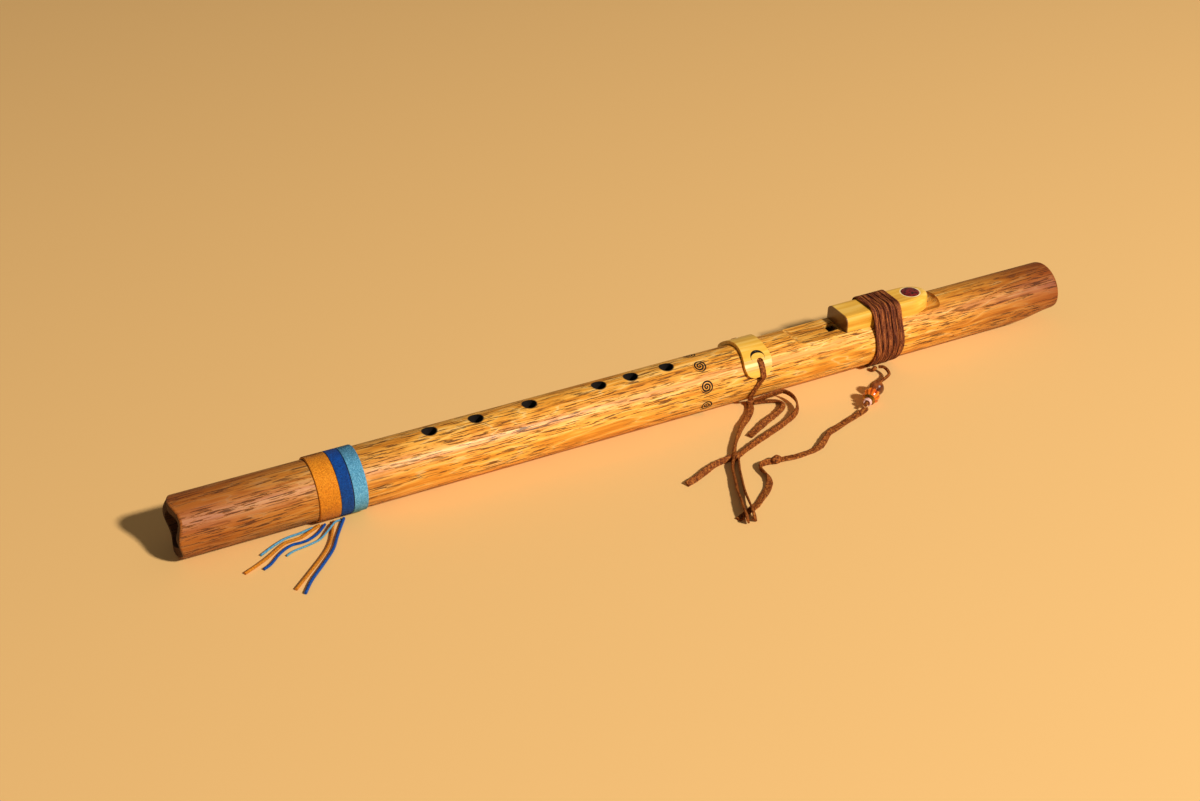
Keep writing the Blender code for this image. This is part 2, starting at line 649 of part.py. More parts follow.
def saddle_thong():
    """One flat thong: from the knot under the barrel, over the far saddle end, under the saddle and down again."""
    half = THONG_THICKNESS / 2
    tight = BARREL_RADIUS + 0.00025 + half
    below = BARREL_RADIUS + FIT + half + 0.0001
    outer = BARREL_RADIUS + FIT + SADDLE_THICKNESS + FIT + half
    route = [(0.3452, -172, tight), (0.3445, -155, tight), (0.3432, -135, tight), (0.3425, -118, tight), (0.3440, -104, tight)]
    route += [(0.3464, -90, tight + 0.0002), (0.3477, -82, tight + 0.0012), (0.3481, -76, outer), (0.3483, -70, outer)]
    route += [(0.3484, -60, outer), (0.3484, -53, outer), (0.3484, -49.4, outer - 0.0002), (0.3484, -48.0, outer - 0.0012)]
    route += [(0.3484, -46.6, below + 0.0005), (0.3484, -44.2, below)]
    across_top = [(0.3484, angle, below) for angle in range(-36, 37, 9)]
    back = [(s, -angle, r) for s, angle, r in route[::-1]][:-4]
    back = back + [(0.3438, 104, tight + 0.0001), (0.3425, 118, tight + 0.0004)]
    points = [around(*place) for place in route + across_top + back]
    points = smooth(points, 0.0013)
    across = np.tile((1.0, 0.0, 0.0), (len(points), 1))
    sweep("saddle_thong", points, across, THONG_WIDTH, THONG_THICKNESS)


def bands():
    """Three plain sleeves for the wound thread."""
    low = BARREL_RADIUS + FIT
    high = low + BAND_THICKNESS
    edge = BAND_THICKNESS * 0.45
    for name, start, length, slot in BANDS:
        profile = [(0, low), (0, high - edge), (edge, high), (length - edge, high), (length, high - edge), (length, low)]
        made = lathe(name, around(start, 0, 0), (1, 0, 0), profile, BARREL_SEGMENTS, slot)
        cut(made, floor_cutter(f"cut_floor_{name}"))


def beads():
    """Four beads in a line on the lace, each with its origin on its own turning axis."""
    start = np.array(BEAD_START)
    way = np.array(BEAD_DIRECTION)
    way /= np.linalg.norm(way)

    def ball(radius, steps=9, flat=1.0):
        """Profile of a bored ball, outside from end to end, then the bore."""
        low = math.asin((BEAD_BORE + 0.0004) / radius)
        turns = [low + (math.pi - 2 * low) * k / steps for k in range(steps + 1)]
        shape = [(-radius * math.cos(t) * flat, radius * math.sin(t)) for t in turns]
        return [(shape[0][0], BEAD_BORE)] + shape + [(shape[-1][0], BEAD_BORE)]

    lathe("bead_wood", start, way, ball(WOOD_BEAD_RADIUS), 28, "bead_wood")
    melon = start + way * (WOOD_BEAD_RADIUS + MELON_BEAD_RADIUS - 0.0001)
    lathe("bead_melon", melon, way, ball(MELON_BEAD_RADIUS, 9, 0.9), 40, "bead_melon", ribs=10, rib_depth=0.0006)
    hug = MELON_BEAD_RADIUS + FIT
    cup_out = hug + CAP_THICKNESS
    turn_hole = math.asin(BEAD_BORE / hug)
    turn_out = math.asin(BEAD_BORE / cup_out)
    turn_rim = math.asin((CAP_RADIUS - CAP_THICKNESS) / hug)
    inside = [turn_hole + (turn_rim - turn_hole) * k / 5 for k in range(6)]
    outside = [turn_rim + (turn_out - turn_rim) * k / 5 for k in range(6)]
    cup = [(hug * math.cos(t) * 0.92, hug * math.sin(t)) for t in inside]
    cup += [(cup_out * math.cos(t) * 0.94, cup_out * math.sin(t)) for t in outside]
    cap_place = melon + way * FIT
    lathe("bead_cap", cap_place, way, cup, 28, "bead_gold")
    ring = cap_place + way * (cup_out * 0.94 + SMALL_BEAD_LENGTH / 2 + FIT)
    turns = [2 * math.pi * k / 8 for k in range(8)]
    middle = (SMALL_BEAD_RADIUS + BEAD_BORE) / 2
    thick = (SMALL_BEAD_RADIUS - BEAD_BORE) / 2
    profile = [(SMALL_BEAD_LENGTH / 2 * math.cos(t), middle + thick * math.sin(t)) for t in turns]
    lathe("bead_small", ring, way, profile, 18, "bead_pink")
    inlet = (start - way * 0.0075) * 1000
    outlet = (ring + way * 0.0042) * 1000
    route = [(147.2, -13.6, 2.3), (149.6, -15.6, 4.2), (151.2, -18.4, 4.6), (151.0, -22.0, 4.2), (149.4, -25.6, 4.3)]
    route += [(144.5, -28.9, 4.8), tuple(inlet), tuple(start * 1000), tuple(melon * 1000), tuple(ring * 1000), tuple(outlet)]
    round_cord("bead_lace", route, BEAD_LACE_RADIUS, "leather", 3, lead=0.0034)
    return tuple(outlet)


def lace_tail(outlet):
    """What follows the beads: a flat tail to its knot, then the end that bends round under the thong tails."""
    x, y, z = outlet
    route = [(x - 0.8, y - 0.7, 2.6, 20), (104.8, -52.4, 1.0, 10), (94.5, -55.5, 1.0, 10), (84.5, -59.0, 1.0, 20)]
    route += [(79.0, -63.8, 1.4, 55), (72.0, -68.6, 1.4, 30), (64.9, -70.6, 1.0, 10), (54.0, -71.0, 1.0, 5), (40.6, -70.6, 2.0, 5)]
    strap("lace_tail", route, tail=0.0042)
    knot("lace_tail_knot", (40.6, -70.6, 2.7), (3.6, 2.7, 2.6), 5)
    end = [(40.6, -70.6, 1.4, 60), (34.5, -69.4, 1.9, 80), (29.6, -71.0, 1.9, 80), (28.6, -75.5, 1.8, 70), (28.8, -81.1, 1.4, 45)]
    end += [(26.3, -86.6, 1.0, 20), (20.6, -92.4, 0.7, 0), (11.0, -99.8, 0.6, 0), (3.0, -103.7, 0.6, 0), (-6.6, -107.6, 0.6, 0)]
    strap("lace_tail_end", end, lead=0.0042)


def strands():
    """The thong ends on the table: three strands to a knot, then three tails."""
    knot("saddle_knot", (59.2, -11.6, 2.4), (3.0, 1.8, 1.8), 10)
    knot("thong_knot", (22.0, -57.2, 2.5), (2.7, 3.1, 2.4), 0)
    start = (59.2, -11.6, 2.2)
    one = [(*start, 30), (56.4, -17.4, 1.5, 20), (49.1, -24.8, 1.4, 30), (42.5, -30.5, 1.6, 60)]
    one += [(36.6, -36.7, 1.8, 75), (30.0, -44.0, 1.8, 80), (22.6, -54.4, 1.8, 60)]
    strap("thong_strand_a", one, lead=0.0040, tail=0.0016)
    two = [(66.6, -11.4, 4.2, 70), (72.0, -11.6, 5.2, 70), (78.4, -13.5, 6.0, 70), (82.5, -19.0, 5.4, 75), (82.4, -26.5, 4.2, 75)]
    two += [(77.7, -33.6, 2.8, 70), (69.2, -38.2, 2.0, 75), (58.0, -43.0, 1.9, 80), (44.0, -48.0, 1.8, 80), (30.0, -53.9, 1.8, 80), (27.0, -55.4, 1.8, 80)]
    strap("thong_strand_b", two)
    three = [(64.5, -12.4, 1.2, 10), (70.5, -14.0, 1.2, 10), (75.4, -16.8, 1.3, 20), (76.4, -20.6, 1.6, 40), (73.4, -25.0, 1.8, 60)]
    three += [(66.0, -29.4, 1.8, 60), (57.0, -33.2, 1.6, 45), (49.5, -37.0, 1.3, 25), (41.0, -41.6, 1.2, 10)]
    strap("thong_strand_c", three)
    left = [(18.4, -56.6, 1.6, 60), (12.0, -57.2, 1.6, 55), (4.0, -59.4, 1.5, 50), (-5.5, -64.0, 1.4, 45), (-15.4, -67.2, 1.2, 30)]
    strap("thong_tail_left", left)
    dark = [(19.0, -60.0, 1.8, 75), (14.6, -66.4, 1.8, 70), (10.8, -75.5, 1.8, 65), (6.4, -85.4, 1.9, 65)]
    dark += [(2.6, -95.4, 3.2, 65), (-0.4, -103.0, 3.7, 65), (-2.2, -108.6, 3.7, 65), (-4.4, -113.8, 2.8, 65)]
    strap("thong_tail_dark", dark, 0.0036)
    pale = [(21.6, -61.4, 1.8, 80), (18.0, -68.4, 1.8, 80), (13.9, -77.6, 1.8, 80), (9.6, -87.6, 2.0, 80)]
    pale += [(6.2, -96.4, 3.4, 75), (4.2, -102.6, 3.7, 70), (2.4, -108.6, 3.3, 60), (0.4, -113.4, 1.6, 50)]
    strap("thong_tail_pale", pale, 0.003)


def yarns():
    """The two loose ends of each thread, lying on the table from under the bands."""
    ends = (
        ("orange_tail_left", "thread_orange", 0.0009, [(-209.5, -9.9), (-217.4, -13.9), (-222.8, -16.2), (-229.7, -16.4), (-235.2, -19.2), (-242.1, -24.0), (-249.8, -28.4), (-257.6, -32.1)]),
        ("blue_tail_left", "thread_blue", 0.0008, [(-206.5, -10.4), (-213.0, -16.6), (-220.5, -20.0), (-228.6, -20.0), (-236.0, -24.0), (-243.0, -30.5), (-247.8, -33.2)]),
        ("light_blue_tail_thin", "thread_light_blue", 0.0006, [(-198.0, -10.2, 0.6), (-201.0, -12.6, 2.4), (-204.0, -15.6, 3.0), (-207.4, -18.4, 2.4), (-213.0, -21.6, 0.8), (-220.0, -23.6), (-228.6, -25.0), (-233.6, -27.4)]),
        ("orange_tail_right", "thread_orange", 0.0009, [(-201.6, -10.2), (-207.6, -23.4), (-213.6, -32.6), (-224.0, -43.2), (-238.2, -56.6)]),
        ("blue_tail_right", "thread_blue", 0.0009, [(-195.6, -9.9), (-203.6, -22.4), (-210.0, -33.2), (-219.0, -43.2), (-228.5, -53.0), (-235.0, -61.8)]),
        ("light_blue_tail_left", "thread_light_blue", 0.0007, [(-213.5, -10.2), (-221.0, -11.8), (-229.0, -12.6), (-237.0, -16.0), (-245.6, -20.9)]),
    )
    for name, slot, radius, route in ends:
        lifted = [(*place, 0.0)[:3] for place in route]
        round_cord(name, lifted, radius, slot, 5)


def build():
    """Everything, from an empty scene."""
    for old in list(bpy.data.objects):
        bpy.data.objects.remove(old, do_unlink=True)
    barrel()
    block()
    lacing()
    saddle()
    saddle_thong()
    bands()
    lace_tail(beads())
    strands()
    yarns()


build()
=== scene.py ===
"""Looks of a native american flute: oiled oak, pale wood, leather lace, beads and wound thread."""

import json
import math

import bmesh
import bpy
import numpy as np
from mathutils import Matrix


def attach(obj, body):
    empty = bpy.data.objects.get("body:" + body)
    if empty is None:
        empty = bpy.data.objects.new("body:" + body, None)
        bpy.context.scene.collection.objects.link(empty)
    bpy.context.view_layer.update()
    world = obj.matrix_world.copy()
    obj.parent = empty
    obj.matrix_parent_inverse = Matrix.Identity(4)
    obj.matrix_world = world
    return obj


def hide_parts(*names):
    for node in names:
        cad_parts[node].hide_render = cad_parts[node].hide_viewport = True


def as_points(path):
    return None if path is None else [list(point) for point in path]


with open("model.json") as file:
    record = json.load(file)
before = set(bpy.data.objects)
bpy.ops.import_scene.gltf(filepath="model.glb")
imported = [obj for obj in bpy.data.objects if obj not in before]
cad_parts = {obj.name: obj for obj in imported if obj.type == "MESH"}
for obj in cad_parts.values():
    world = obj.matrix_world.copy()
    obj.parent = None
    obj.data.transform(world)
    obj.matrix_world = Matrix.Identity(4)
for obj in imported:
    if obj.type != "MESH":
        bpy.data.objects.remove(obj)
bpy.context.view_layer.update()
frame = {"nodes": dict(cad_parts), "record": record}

# Sizes are in metres and angles in degrees, unless a comment says otherwise. A station is a distance from the
# foot end. Barrel and fits:
BARREL_LENGTH = 0.571
BARREL_RADIUS = 0.017
BORE_RADIUS = 0.011
AXIS_HEIGHT = 0.0181
FOOT_X = -BARREL_LENGTH / 2
FINGER_HOLES = (0.1455, 0.1731, 0.2057, 0.2493, 0.2698, 0.2932)
FINGER_HOLE_RADIUS = 0.004
FIT = 0.0003
FLOOR_GAP = 0.00005
UP = np.array((0.0, 0.0, 1.0))
# Edges that turn more than this show as edges
SHARP_ANGLE = 50

# Spiral marks burnt in a ring round the barrel
MARK_STATION = 0.3118
MARK_COUNT = 8
MARK_RADIUS = 0.0044
MARK_PITCH = 0.0016

# Growth rings of the oak: apart across the board, apart along it, and how far noise bends them in radians
RING_GAP = 0.0057539
RING_RUN = 0.172615
RING_BEND = 52.0

# Block and stone
NEST_HEIGHT = 0.0135
BLOCK_START = 0.4115
BLOCK_WIDTH = 0.021
BLOCK_EDGE = 0.004
BLOCK_TOP = NEST_HEIGHT + 0.0097
BLOCK_CORNER = (BLOCK_WIDTH / 2 - BLOCK_EDGE, BLOCK_TOP - BLOCK_EDGE)
STONE_X = FOOT_X + 0.4645
STONE_RIM_RADIUS = 0.0062

# Lacing round block and barrel. Angles run from the top. It steps on between the two last angles of a turn
LACE_WIDTH = 0.0037
LACE_THICKNESS = 0.0013
LACE_PITCH = 0.00415
LACE_TURNS = 5
LACE_FIRST = 0.4482
LACE_START_ANGLE = 205
LACE_END_ANGLE = 145
LACE_STEP_ANGLE = 2.5
ADVANCE_FROM = 95
ADVANCE_TO = 215

# Saddle, thong and loose straps
SADDLE_THICKNESS = 0.0022
SADDLE_OUTER = BARREL_RADIUS + FIT + SADDLE_THICKNESS
CRESCENT_CENTRE = 0.3478
CRESCENT_ANGLE = 39
CRESCENT_RADIUS = 0.0045
# The oval that bites into the crescent's disc: half width, half height and drop, over the disc's radius
CRESCENT_BITE = (0.98, 0.675, 0.08)
THONG_WIDTH = 0.0034
THONG_THICKNESS = 0.0008
THONG_GAP = 0.00025
THONG_SPACING = 0.0006
STRAND_WIDTH = 0.0034
STRAND_THICKNESS = 0.0012
STRAP_SPACING = 0.0009
STRAP_SWELL = 0.18
LACING_SWELL = 0.03
TIED_STRAPS = ("lace_tail", "thong_strand_a", "thong_strand_b")

# Thread bands: name, station, length, slot
BAND_THICKNESS = 0.0009
BANDS = (
    ("band_orange", 0.0754, 0.0117, "thread_orange"),
    ("band_blue", 0.0874, 0.0067, "thread_blue"),
    ("band_light_blue", 0.0944, 0.0080, "thread_light_blue"),
)
THREAD_PITCH = 0.00045
THREAD_RIDGE = 0.00014
PLIES = 3
PLY_DEPTH = 0.16

# Beads, from the lacing outward along their lace
BEAD_LACE_RADIUS = 0.001
WOOD_BEAD_RADIUS = 0.00465
MELON_BEAD_RADIUS = 0.0051
MELON_FLAT = 0.9
BEAD_OVERLAP = 0.0001
CAP_THICKNESS = 0.0007
CAP_FLAT = 0.94
SMALL_BEAD_LENGTH = 0.0026
BEAD_START = np.array((0.1324, -0.0365, 0.00515))
BEAD_WAY = np.array((-0.79, -0.61, 0.0)) / math.hypot(0.79, 0.61)
MELON_CENTRE = BEAD_START + BEAD_WAY * (WOOD_BEAD_RADIUS + MELON_BEAD_RADIUS - BEAD_OVERLAP)
CAP_REACH = (MELON_BEAD_RADIUS + FIT + CAP_THICKNESS) * CAP_FLAT
SMALL_BEAD_CENTRE = MELON_CENTRE + BEAD_WAY * (FIT + CAP_REACH + SMALL_BEAD_LENGTH / 2 + FIT)
# Where the lace comes out of the last bead, and the knot that it starts from, in millimetres
BEAD_OUTLET = tuple((SMALL_BEAD_CENTRE + BEAD_WAY * 0.0042) * 1000)
LACING_KNOT = (147.2, -13.6, 2.3)

# Camera and lamps: the camera's place and angles are the photo's own, its lens and sensor in millimetres, and
# a lamp lies far metres from the origin along way, with its power in watts
CAMERA_PLACE = (-0.4143, -0.7401, 0.5521)
CAMERA_AZIMUTH = 27.12
CAMERA_DOWN = 32.41
CAMERA_LENS = 51.6
CAMERA_SENSOR = 36.0
FLOOR_SIZE = 12.0
WORLD_STRENGTH = 0.15
LAMP_COLOUR = (1.0, 0.93, 0.82)
LAMPS = (
    {"name": "key", "way": (0.47, -1.17, 1.0), "far": 4.0, "size": 0.28, "power": 205.0},
    {"name": "fill", "way": (-0.5, -0.6, 0.62), "far": 1.8, "size": 1.2, "power": 0.5},
)


def colour(code):
    """Linear RGBA from an sRGB hex code."""
    parts = [int(code[i : i + 2], 16) / 255 for i in (0, 2, 4)]
    return [p / 12.92 if p <= 0.04045 else ((p + 0.055) / 1.055) ** 2.4 for p in parts] + [1.0]


def marks(size):
    """Scale of a pattern whose marks are this many millimetres wide."""
    return 1000 / size


def grain(along, across):
    """Scale of a pattern from the length of its marks along the flute and their width, in millimetres."""
    return (marks(along), marks(across), marks(across))


# How deep the relief of each surface is
PORE_DEPTH = 0.00016
WOOD_GRAIN_DEPTH = 0.00008
NAP_DEPTH = 0.00022
POLISH_DEPTH = 0.00004

# Settings of the steps from one value to another and of the mixes of two colours
EASED = {"interpolation_type": "SMOOTHSTEP"}
COLOURS = {"data_type": "RGBA"}


class Finish:
    """A procedural material on object coordinates, which are metres in the flute's own frame."""

    def __init__(self, name):
        self.material = bpy.data.materials.new(name)
        self.material.use_nodes = True
        self.tree = self.material.node_tree
        self.place = self.add("TexCoord", out="Object")

    def put(self, socket, value):
        """Links a socket, or sets it to a number or colour."""
        if isinstance(value, bpy.types.NodeSocket):
            self.tree.links.new(value, socket)
        else:
            socket.default_value = value

    def add(self, kind, *values, out=None, stops=(), **more):
        """Adds one node and gives its output.

        kind may name an operation after a space. values go to the live inputs in order, a word with a
        capital is the input of that name and other words are settings. stops are a ramp's places and hexes.
        """
        kind, _, operation = kind.partition(" ")
        node = self.tree.nodes.new("ShaderNode" + kind)
        if operation:
            node.operation = operation
        for word in [word for word in more if word.islower()]:
            setattr(node, word, more.pop(word))
        live = [socket for socket in node.inputs if socket.enabled]
        named = [(node.inputs[word], value) for word, value in more.items()]
        for socket, value in [*zip(live, values), *named]:
            self.put(socket, value)
        if stops:
            elements = node.color_ramp.elements
            while len(elements) < len(stops):
                elements.new(0.5)
            for element, (where, code) in zip(elements, stops):
                element.position = where
                element.color = colour(code)
        return node.outputs[out] if out else next(socket for socket in node.outputs if socket.enabled)

    def apart(self, first, second):
        """Distance from zero: the square root of first squared plus second squared."""
        square = self.add("Math MULTIPLY", first, first)
        square = self.add("Math ADD", square, self.add("Math MULTIPLY", second, second))
        return self.add("Math SQRT", square)

    def finish(self, base, roughness, **more):
        """Sets the surface and gives the material."""
        surface = self.tree.nodes["Principled BSDF"]
        self.put(surface.inputs["Base Color"], base)
        self.put(surface.inputs["Roughness"], roughness)
        for word, value in more.items():
            self.put(surface.inputs[word.replace("_", " ")], value)
        return self.material


def oak_grain(oak, x, rise):
    """Oak's colour and pores: honey ground, pale arcs where the cut crosses the rings, dark open pores.

    The rings are sin(2 pi (rise / ring gap + x / ring run) + bend * noise). The pores are drawn 0.67 mm wide,
    about twice as wide as real ones, so that they show.
    """
    bend = oak.add("VectorMath MULTIPLY", oak.place, grain(111.11, 16.667))
    bend = oak.add("TexNoise", bend, 1.0, 3.0, 0.55)
    rings = oak.add("Math MULTIPLY", bend, RING_BEND)
    rings = oak.add("Math MULTIPLY_ADD", rise, 2 * math.pi / RING_GAP, rings)
    rings = oak.add("Math MULTIPLY_ADD", x, 2 * math.pi / RING_RUN, rings)
    wave = oak.add("Math MULTIPLY_ADD", oak.add("Math SINE", rings), 0.5, 0.5)
    broad = oak.add("VectorMath MULTIPLY", oak.place, grain(166.67, 11.111))
    broad = oak.add("TexNoise", broad, 1.0, 3.0, 0.55)
    fine = oak.add("VectorMath MULTIPLY", oak.place, grain(41.667, 1.6129))
    fine = oak.add("TexNoise", fine, 1.0, 5.0, 0.65)
    tone = oak.add("Math MULTIPLY_ADD", wave, 0.10, oak.add("Math MULTIPLY", broad, 0.36))
    tone = oak.add("Math MULTIPLY_ADD", fine, 0.54, tone)
    honey = ((0.30, "a05a12"), (0.44, "da8c26"), (0.56, "f2ae46"), (0.72, "fbca6c"))
    base = oak.add("ValToRGB", tone, stops=honey)
    crest = oak.add("MapRange", wave, 0.965, 0.998, **EASED)
    arcs = oak.add("Math MULTIPLY", crest, 0.5)
    base = oak.add("Mix", arcs, base, colour("f0c882"), **COLOURS)
    pores = oak.add("VectorMath MULTIPLY", oak.place, grain(10.526, 0.66667))
    pores = oak.add("TexNoise", pores, 1.0, 3.0, 0.55)
    clumps = oak.add("VectorMath MULTIPLY", oak.place, grain(83.333, 5.8824))
    clumps = oak.add("TexNoise", clumps, 1.0, 3.0, 0.55)
    pores = oak.add("MapRange", pores, 0.53, 0.60, **EASED)
    clumps = oak.add("MapRange", clumps, 0.34, 0.52, **EASED)
    dark = oak.add("Math MULTIPLY", pores, clumps)
    base = oak.add("Mix", oak.add("Math MULTIPLY", dark, 0.85), base, colour("4e2208"), **COLOURS)
    return base, fine, dark


def oak_ends(oak, base, x):
    """The darker oil toward both ends of the barrel, deepest at the mouth end.

    It sets in 130 mm from a middle that lies 20 mm toward the mouth end, and is full at 300 mm.
    """
    from_middle = oak.add("Math ABSOLUTE", oak.add("Math ADD", x, -0.02))
    ends = oak.add("MapRange", from_middle, 0.13, 0.30, **EASED)
    mouthward = oak.add("MapRange", x, -0.1, 0.1, **EASED)
    deep = oak.add("Math MULTIPLY", ends, oak.add("Math MULTIPLY_ADD", mouthward, 0.2, 0.78))
    base = oak.add("Mix", deep, base, colour("86400c"), blend_type="MULTIPLY", **COLOURS)
    return oak.add("Mix", oak.add("Math MULTIPLY", ends, 0.15), base, colour("8a4a10"), **COLOURS)


def spiral_marks(oak, x, y, rise):
    """Spirals burnt in all round, each in its share of the turn.

    At distance r and angle a from a mark's middle it is dark where sin(2 * pi * r / pitch + a) is over
    -0.1, out to the mark's radius.
    """
    turn = oak.add("Math ARCTAN2", y, rise)
    share = 2 * math.pi / MARK_COUNT
    folded = oak.add("Math SUBTRACT", oak.add("Math FLOORED_MODULO", turn, share), share / 2)
    across = oak.add("Math MULTIPLY", folded, BARREL_RADIUS)
    along = oak.add("Math SUBTRACT", x, FOOT_X + MARK_STATION)
    out = oak.apart(across, along)
    spin = oak.add("Math ARCTAN2", across, along)
    coil = oak.add("Math SINE", oak.add("Math MULTIPLY_ADD", out, 2 * math.pi / MARK_PITCH, spin))
    line = oak.add("MapRange", coil, -0.55, -0.1, **EASED)
    line = oak.add("Math MULTIPLY_ADD", line, 0.96, 0.04)
    inside = oak.add("MapRange", out, MARK_RADIUS, MARK_RADIUS - 0.0006, **EASED)
    return oak.add("Math MULTIPLY", line, inside)


def burnt_rims_and_painted_shade(oak, x, y, rise):
    """The finger holes' rims, which the hot tool blackened, and painted shade in the bore and on the foot's
    end face.
    """
    nearest = 1.0
    for station in FINGER_HOLES:
        offset = oak.add("Math SUBTRACT", x, FOOT_X + station)
        nearest = oak.add("Math MINIMUM", nearest, oak.apart(offset, y))
    close = (FINGER_HOLE_RADIUS + 0.0009, FINGER_HOLE_RADIUS + 0.0001)
    rim = oak.add("MapRange", nearest, *close, **EASED)
    rim = oak.add("Math MULTIPLY", rim, oak.add("MapRange", rise, 0.0, 0.004, **EASED))
    out = oak.apart(y, rise)
    # Painted shade in the bore: its walls are darkened, at 0.7 strength
    bore = oak.add("MapRange", out, BORE_RADIUS + 0.0018, BORE_RADIUS + 0.0002, **EASED)
    burnt = oak.add("Math MAXIMUM", rim, oak.add("Math MULTIPLY", bore, 0.7))
    # Painted shade on the foot's end face, at 0.8 strength
    edge = oak.add("MapRange", out, BARREL_RADIUS - 0.0004, BARREL_RADIUS - 0.0012, **EASED)
    foot = oak.add("MapRange", x, FOOT_X + 0.006, FOOT_X + 0.004, **EASED)
    face = oak.add("Math MULTIPLY", edge, foot)
    return oak.add("Math MAXIMUM", burnt, oak.add("Math MULTIPLY", face, 0.8))


def oiled_oak():
    """Oak, turned and oiled: satin, with open pores that hold shadow and matt burnt marks."""
    oak = Finish("oiled_oak")
    x, y, z = (oak.add("SeparateXYZ", oak.place, out=axis) for axis in "XYZ")
    rise = oak.add("Math SUBTRACT", z, AXIS_HEIGHT)
    base, fine, dark = oak_grain(oak, x, rise)
    base = oak_ends(oak, base, x)
    # burnt holds the burnt spiral marks and finger hole rims together with the painted shade of the bore and
    # the foot's end face
    burnt = oak.add("Math MAXIMUM", spiral_marks(oak, x, y, rise), burnt_rims_and_painted_shade(oak, x, y, rise))
    base = oak.add("Mix", burnt, base, colour("120702"), **COLOURS)
    height = oak.add("Math SUBTRACT", oak.add("Math MULTIPLY", fine, 0.25), dark)
    height = oak.add("Math SUBTRACT", height, oak.add("Math MULTIPLY", burnt, 1.2))
    normal = oak.add("Bump", Height=height, Distance=PORE_DEPTH, Strength=1.0)
    rough = oak.add("Math MULTIPLY_ADD", oak.add("Math MAXIMUM", dark, burnt), 0.3, 0.5)
    oil = oak.add("Math MULTIPLY_ADD", burnt, -0.06, 0.06)
    oiled = {"Coat_Weight": oil, "Coat_Roughness": 0.2, "Specular_IOR_Level": 0.35}
    return oak.finish(base, rough, Normal=normal, **oiled)


def crescent(wood, x, y, rise):
    """The blackened floor of the saddle's crescents: a disc less an oval set a little lower.

    Black where the distance from the disc's middle is under its radius, where the distance from the oval's
    middle over its half sizes is over 1, and no lower than 1.6 mm under the disc's middle.
    """
    turn = wood.add("Math ABSOLUTE", wood.add("Math ARCTAN2", y, rise))
    up = wood.add("Math SUBTRACT", math.radians(CRESCENT_ANGLE), turn)
    up = wood.add("Math MULTIPLY", up, SADDLE_OUTER)
    along = wood.add("Math SUBTRACT", x, FOOT_X + CRESCENT_CENTRE)
    out = wood.apart(up, along)
    half_width, half_height, drop = (share * CRESCENT_RADIUS for share in CRESCENT_BITE)
    lower = wood.add("Math DIVIDE", wood.add("Math ADD", up, drop), half_height)
    wide = wood.add("Math DIVIDE", along, half_width)
    bite = wood.apart(lower, wide)
    disc = wood.add("MapRange", out, CRESCENT_RADIUS + 0.0002, CRESCENT_RADIUS, **EASED)
    moon = wood.add("MapRange", bite, 0.96, 1.02, **EASED)
    moon = wood.add("Math MULTIPLY", disc, moon)
    above = wood.add("MapRange", up, -0.0019, -0.0016, **EASED)
    return wood.add("Math MULTIPLY", moon, above)


def pale_wood():
    """Pale yellow hardwood, sanded and oiled: fine straight grain and a soft shine.

    The block's front face is darkened with painted shade, the saddle's crescents are black and a painted
    highlight rings the stone.
    """
    wood = Finish("oiled_pale_wood")
    fine = wood.add("VectorMath MULTIPLY", wood.place, grain(40, 2.381))
    fine = wood.add("TexNoise", fine, 1.0, 4.0, 0.55)
    broad = wood.add("VectorMath MULTIPLY", wood.place, grain(55.556, 16.667))
    broad = wood.add("TexNoise", broad, 1.0, 2.0, 0.55)
    tone = wood.add("Math MULTIPLY_ADD", fine, 0.6, wood.add("Math MULTIPLY", broad, 0.4))
    base = wood.add("ValToRGB", tone, stops=((0.3, "ca8a20"), (0.5, "eab444"), (0.7, "f6cc70")))
    x, y, z = (wood.add("SeparateXYZ", wood.place, out=axis) for axis in "XYZ")
    rise = wood.add("Math SUBTRACT", z, AXIS_HEIGHT)
    front = FOOT_X + BLOCK_START
    on_block = wood.add("MapRange", x, front - 0.0002, front - 0.0001, **EASED)
    on_saddle = wood.add("Math SUBTRACT", 1.0, on_block)
    moon = wood.add("Math MULTIPLY", crescent(wood, x, y, rise), on_saddle)
    base = wood.add("Mix", moon, base, colour("140802"), **COLOURS)
    # Painted highlight: a thin pale ring on the edge of the stone's pocket
    offset = wood.add("Math SUBTRACT", x, STONE_X)
    out = wood.apart(offset, y)
    near = (STONE_RIM_RADIUS + 0.0005, STONE_RIM_RADIUS)
    rim = wood.add("MapRange", out, *near, **EASED)
    rim = wood.add("Math MULTIPLY", rim, wood.add("Math MULTIPLY", on_block, 0.6))
    base = wood.add("Mix", rim, base, colour("fff2cc"), **COLOURS)
    # Painted shade: the block's front face, turned away from the key lamp, darkened to dark brown
    painted_front_shade = wood.add("MapRange", x, front + 0.0011, front + 0.0004, **EASED)
    painted_front_shade = wood.add("Math MULTIPLY", wood.add("Math MULTIPLY", on_block, painted_front_shade), 0.9)
    base = wood.add("Mix", painted_front_shade, base, colour("5a2c12"), **COLOURS)
    normal = wood.add("Bump", Height=fine, Distance=WOOD_GRAIN_DEPTH, Strength=1.0)
    return wood.finish(base, 0.3, Normal=normal, Coat_Weight=0.25, Coat_Roughness=0.15)


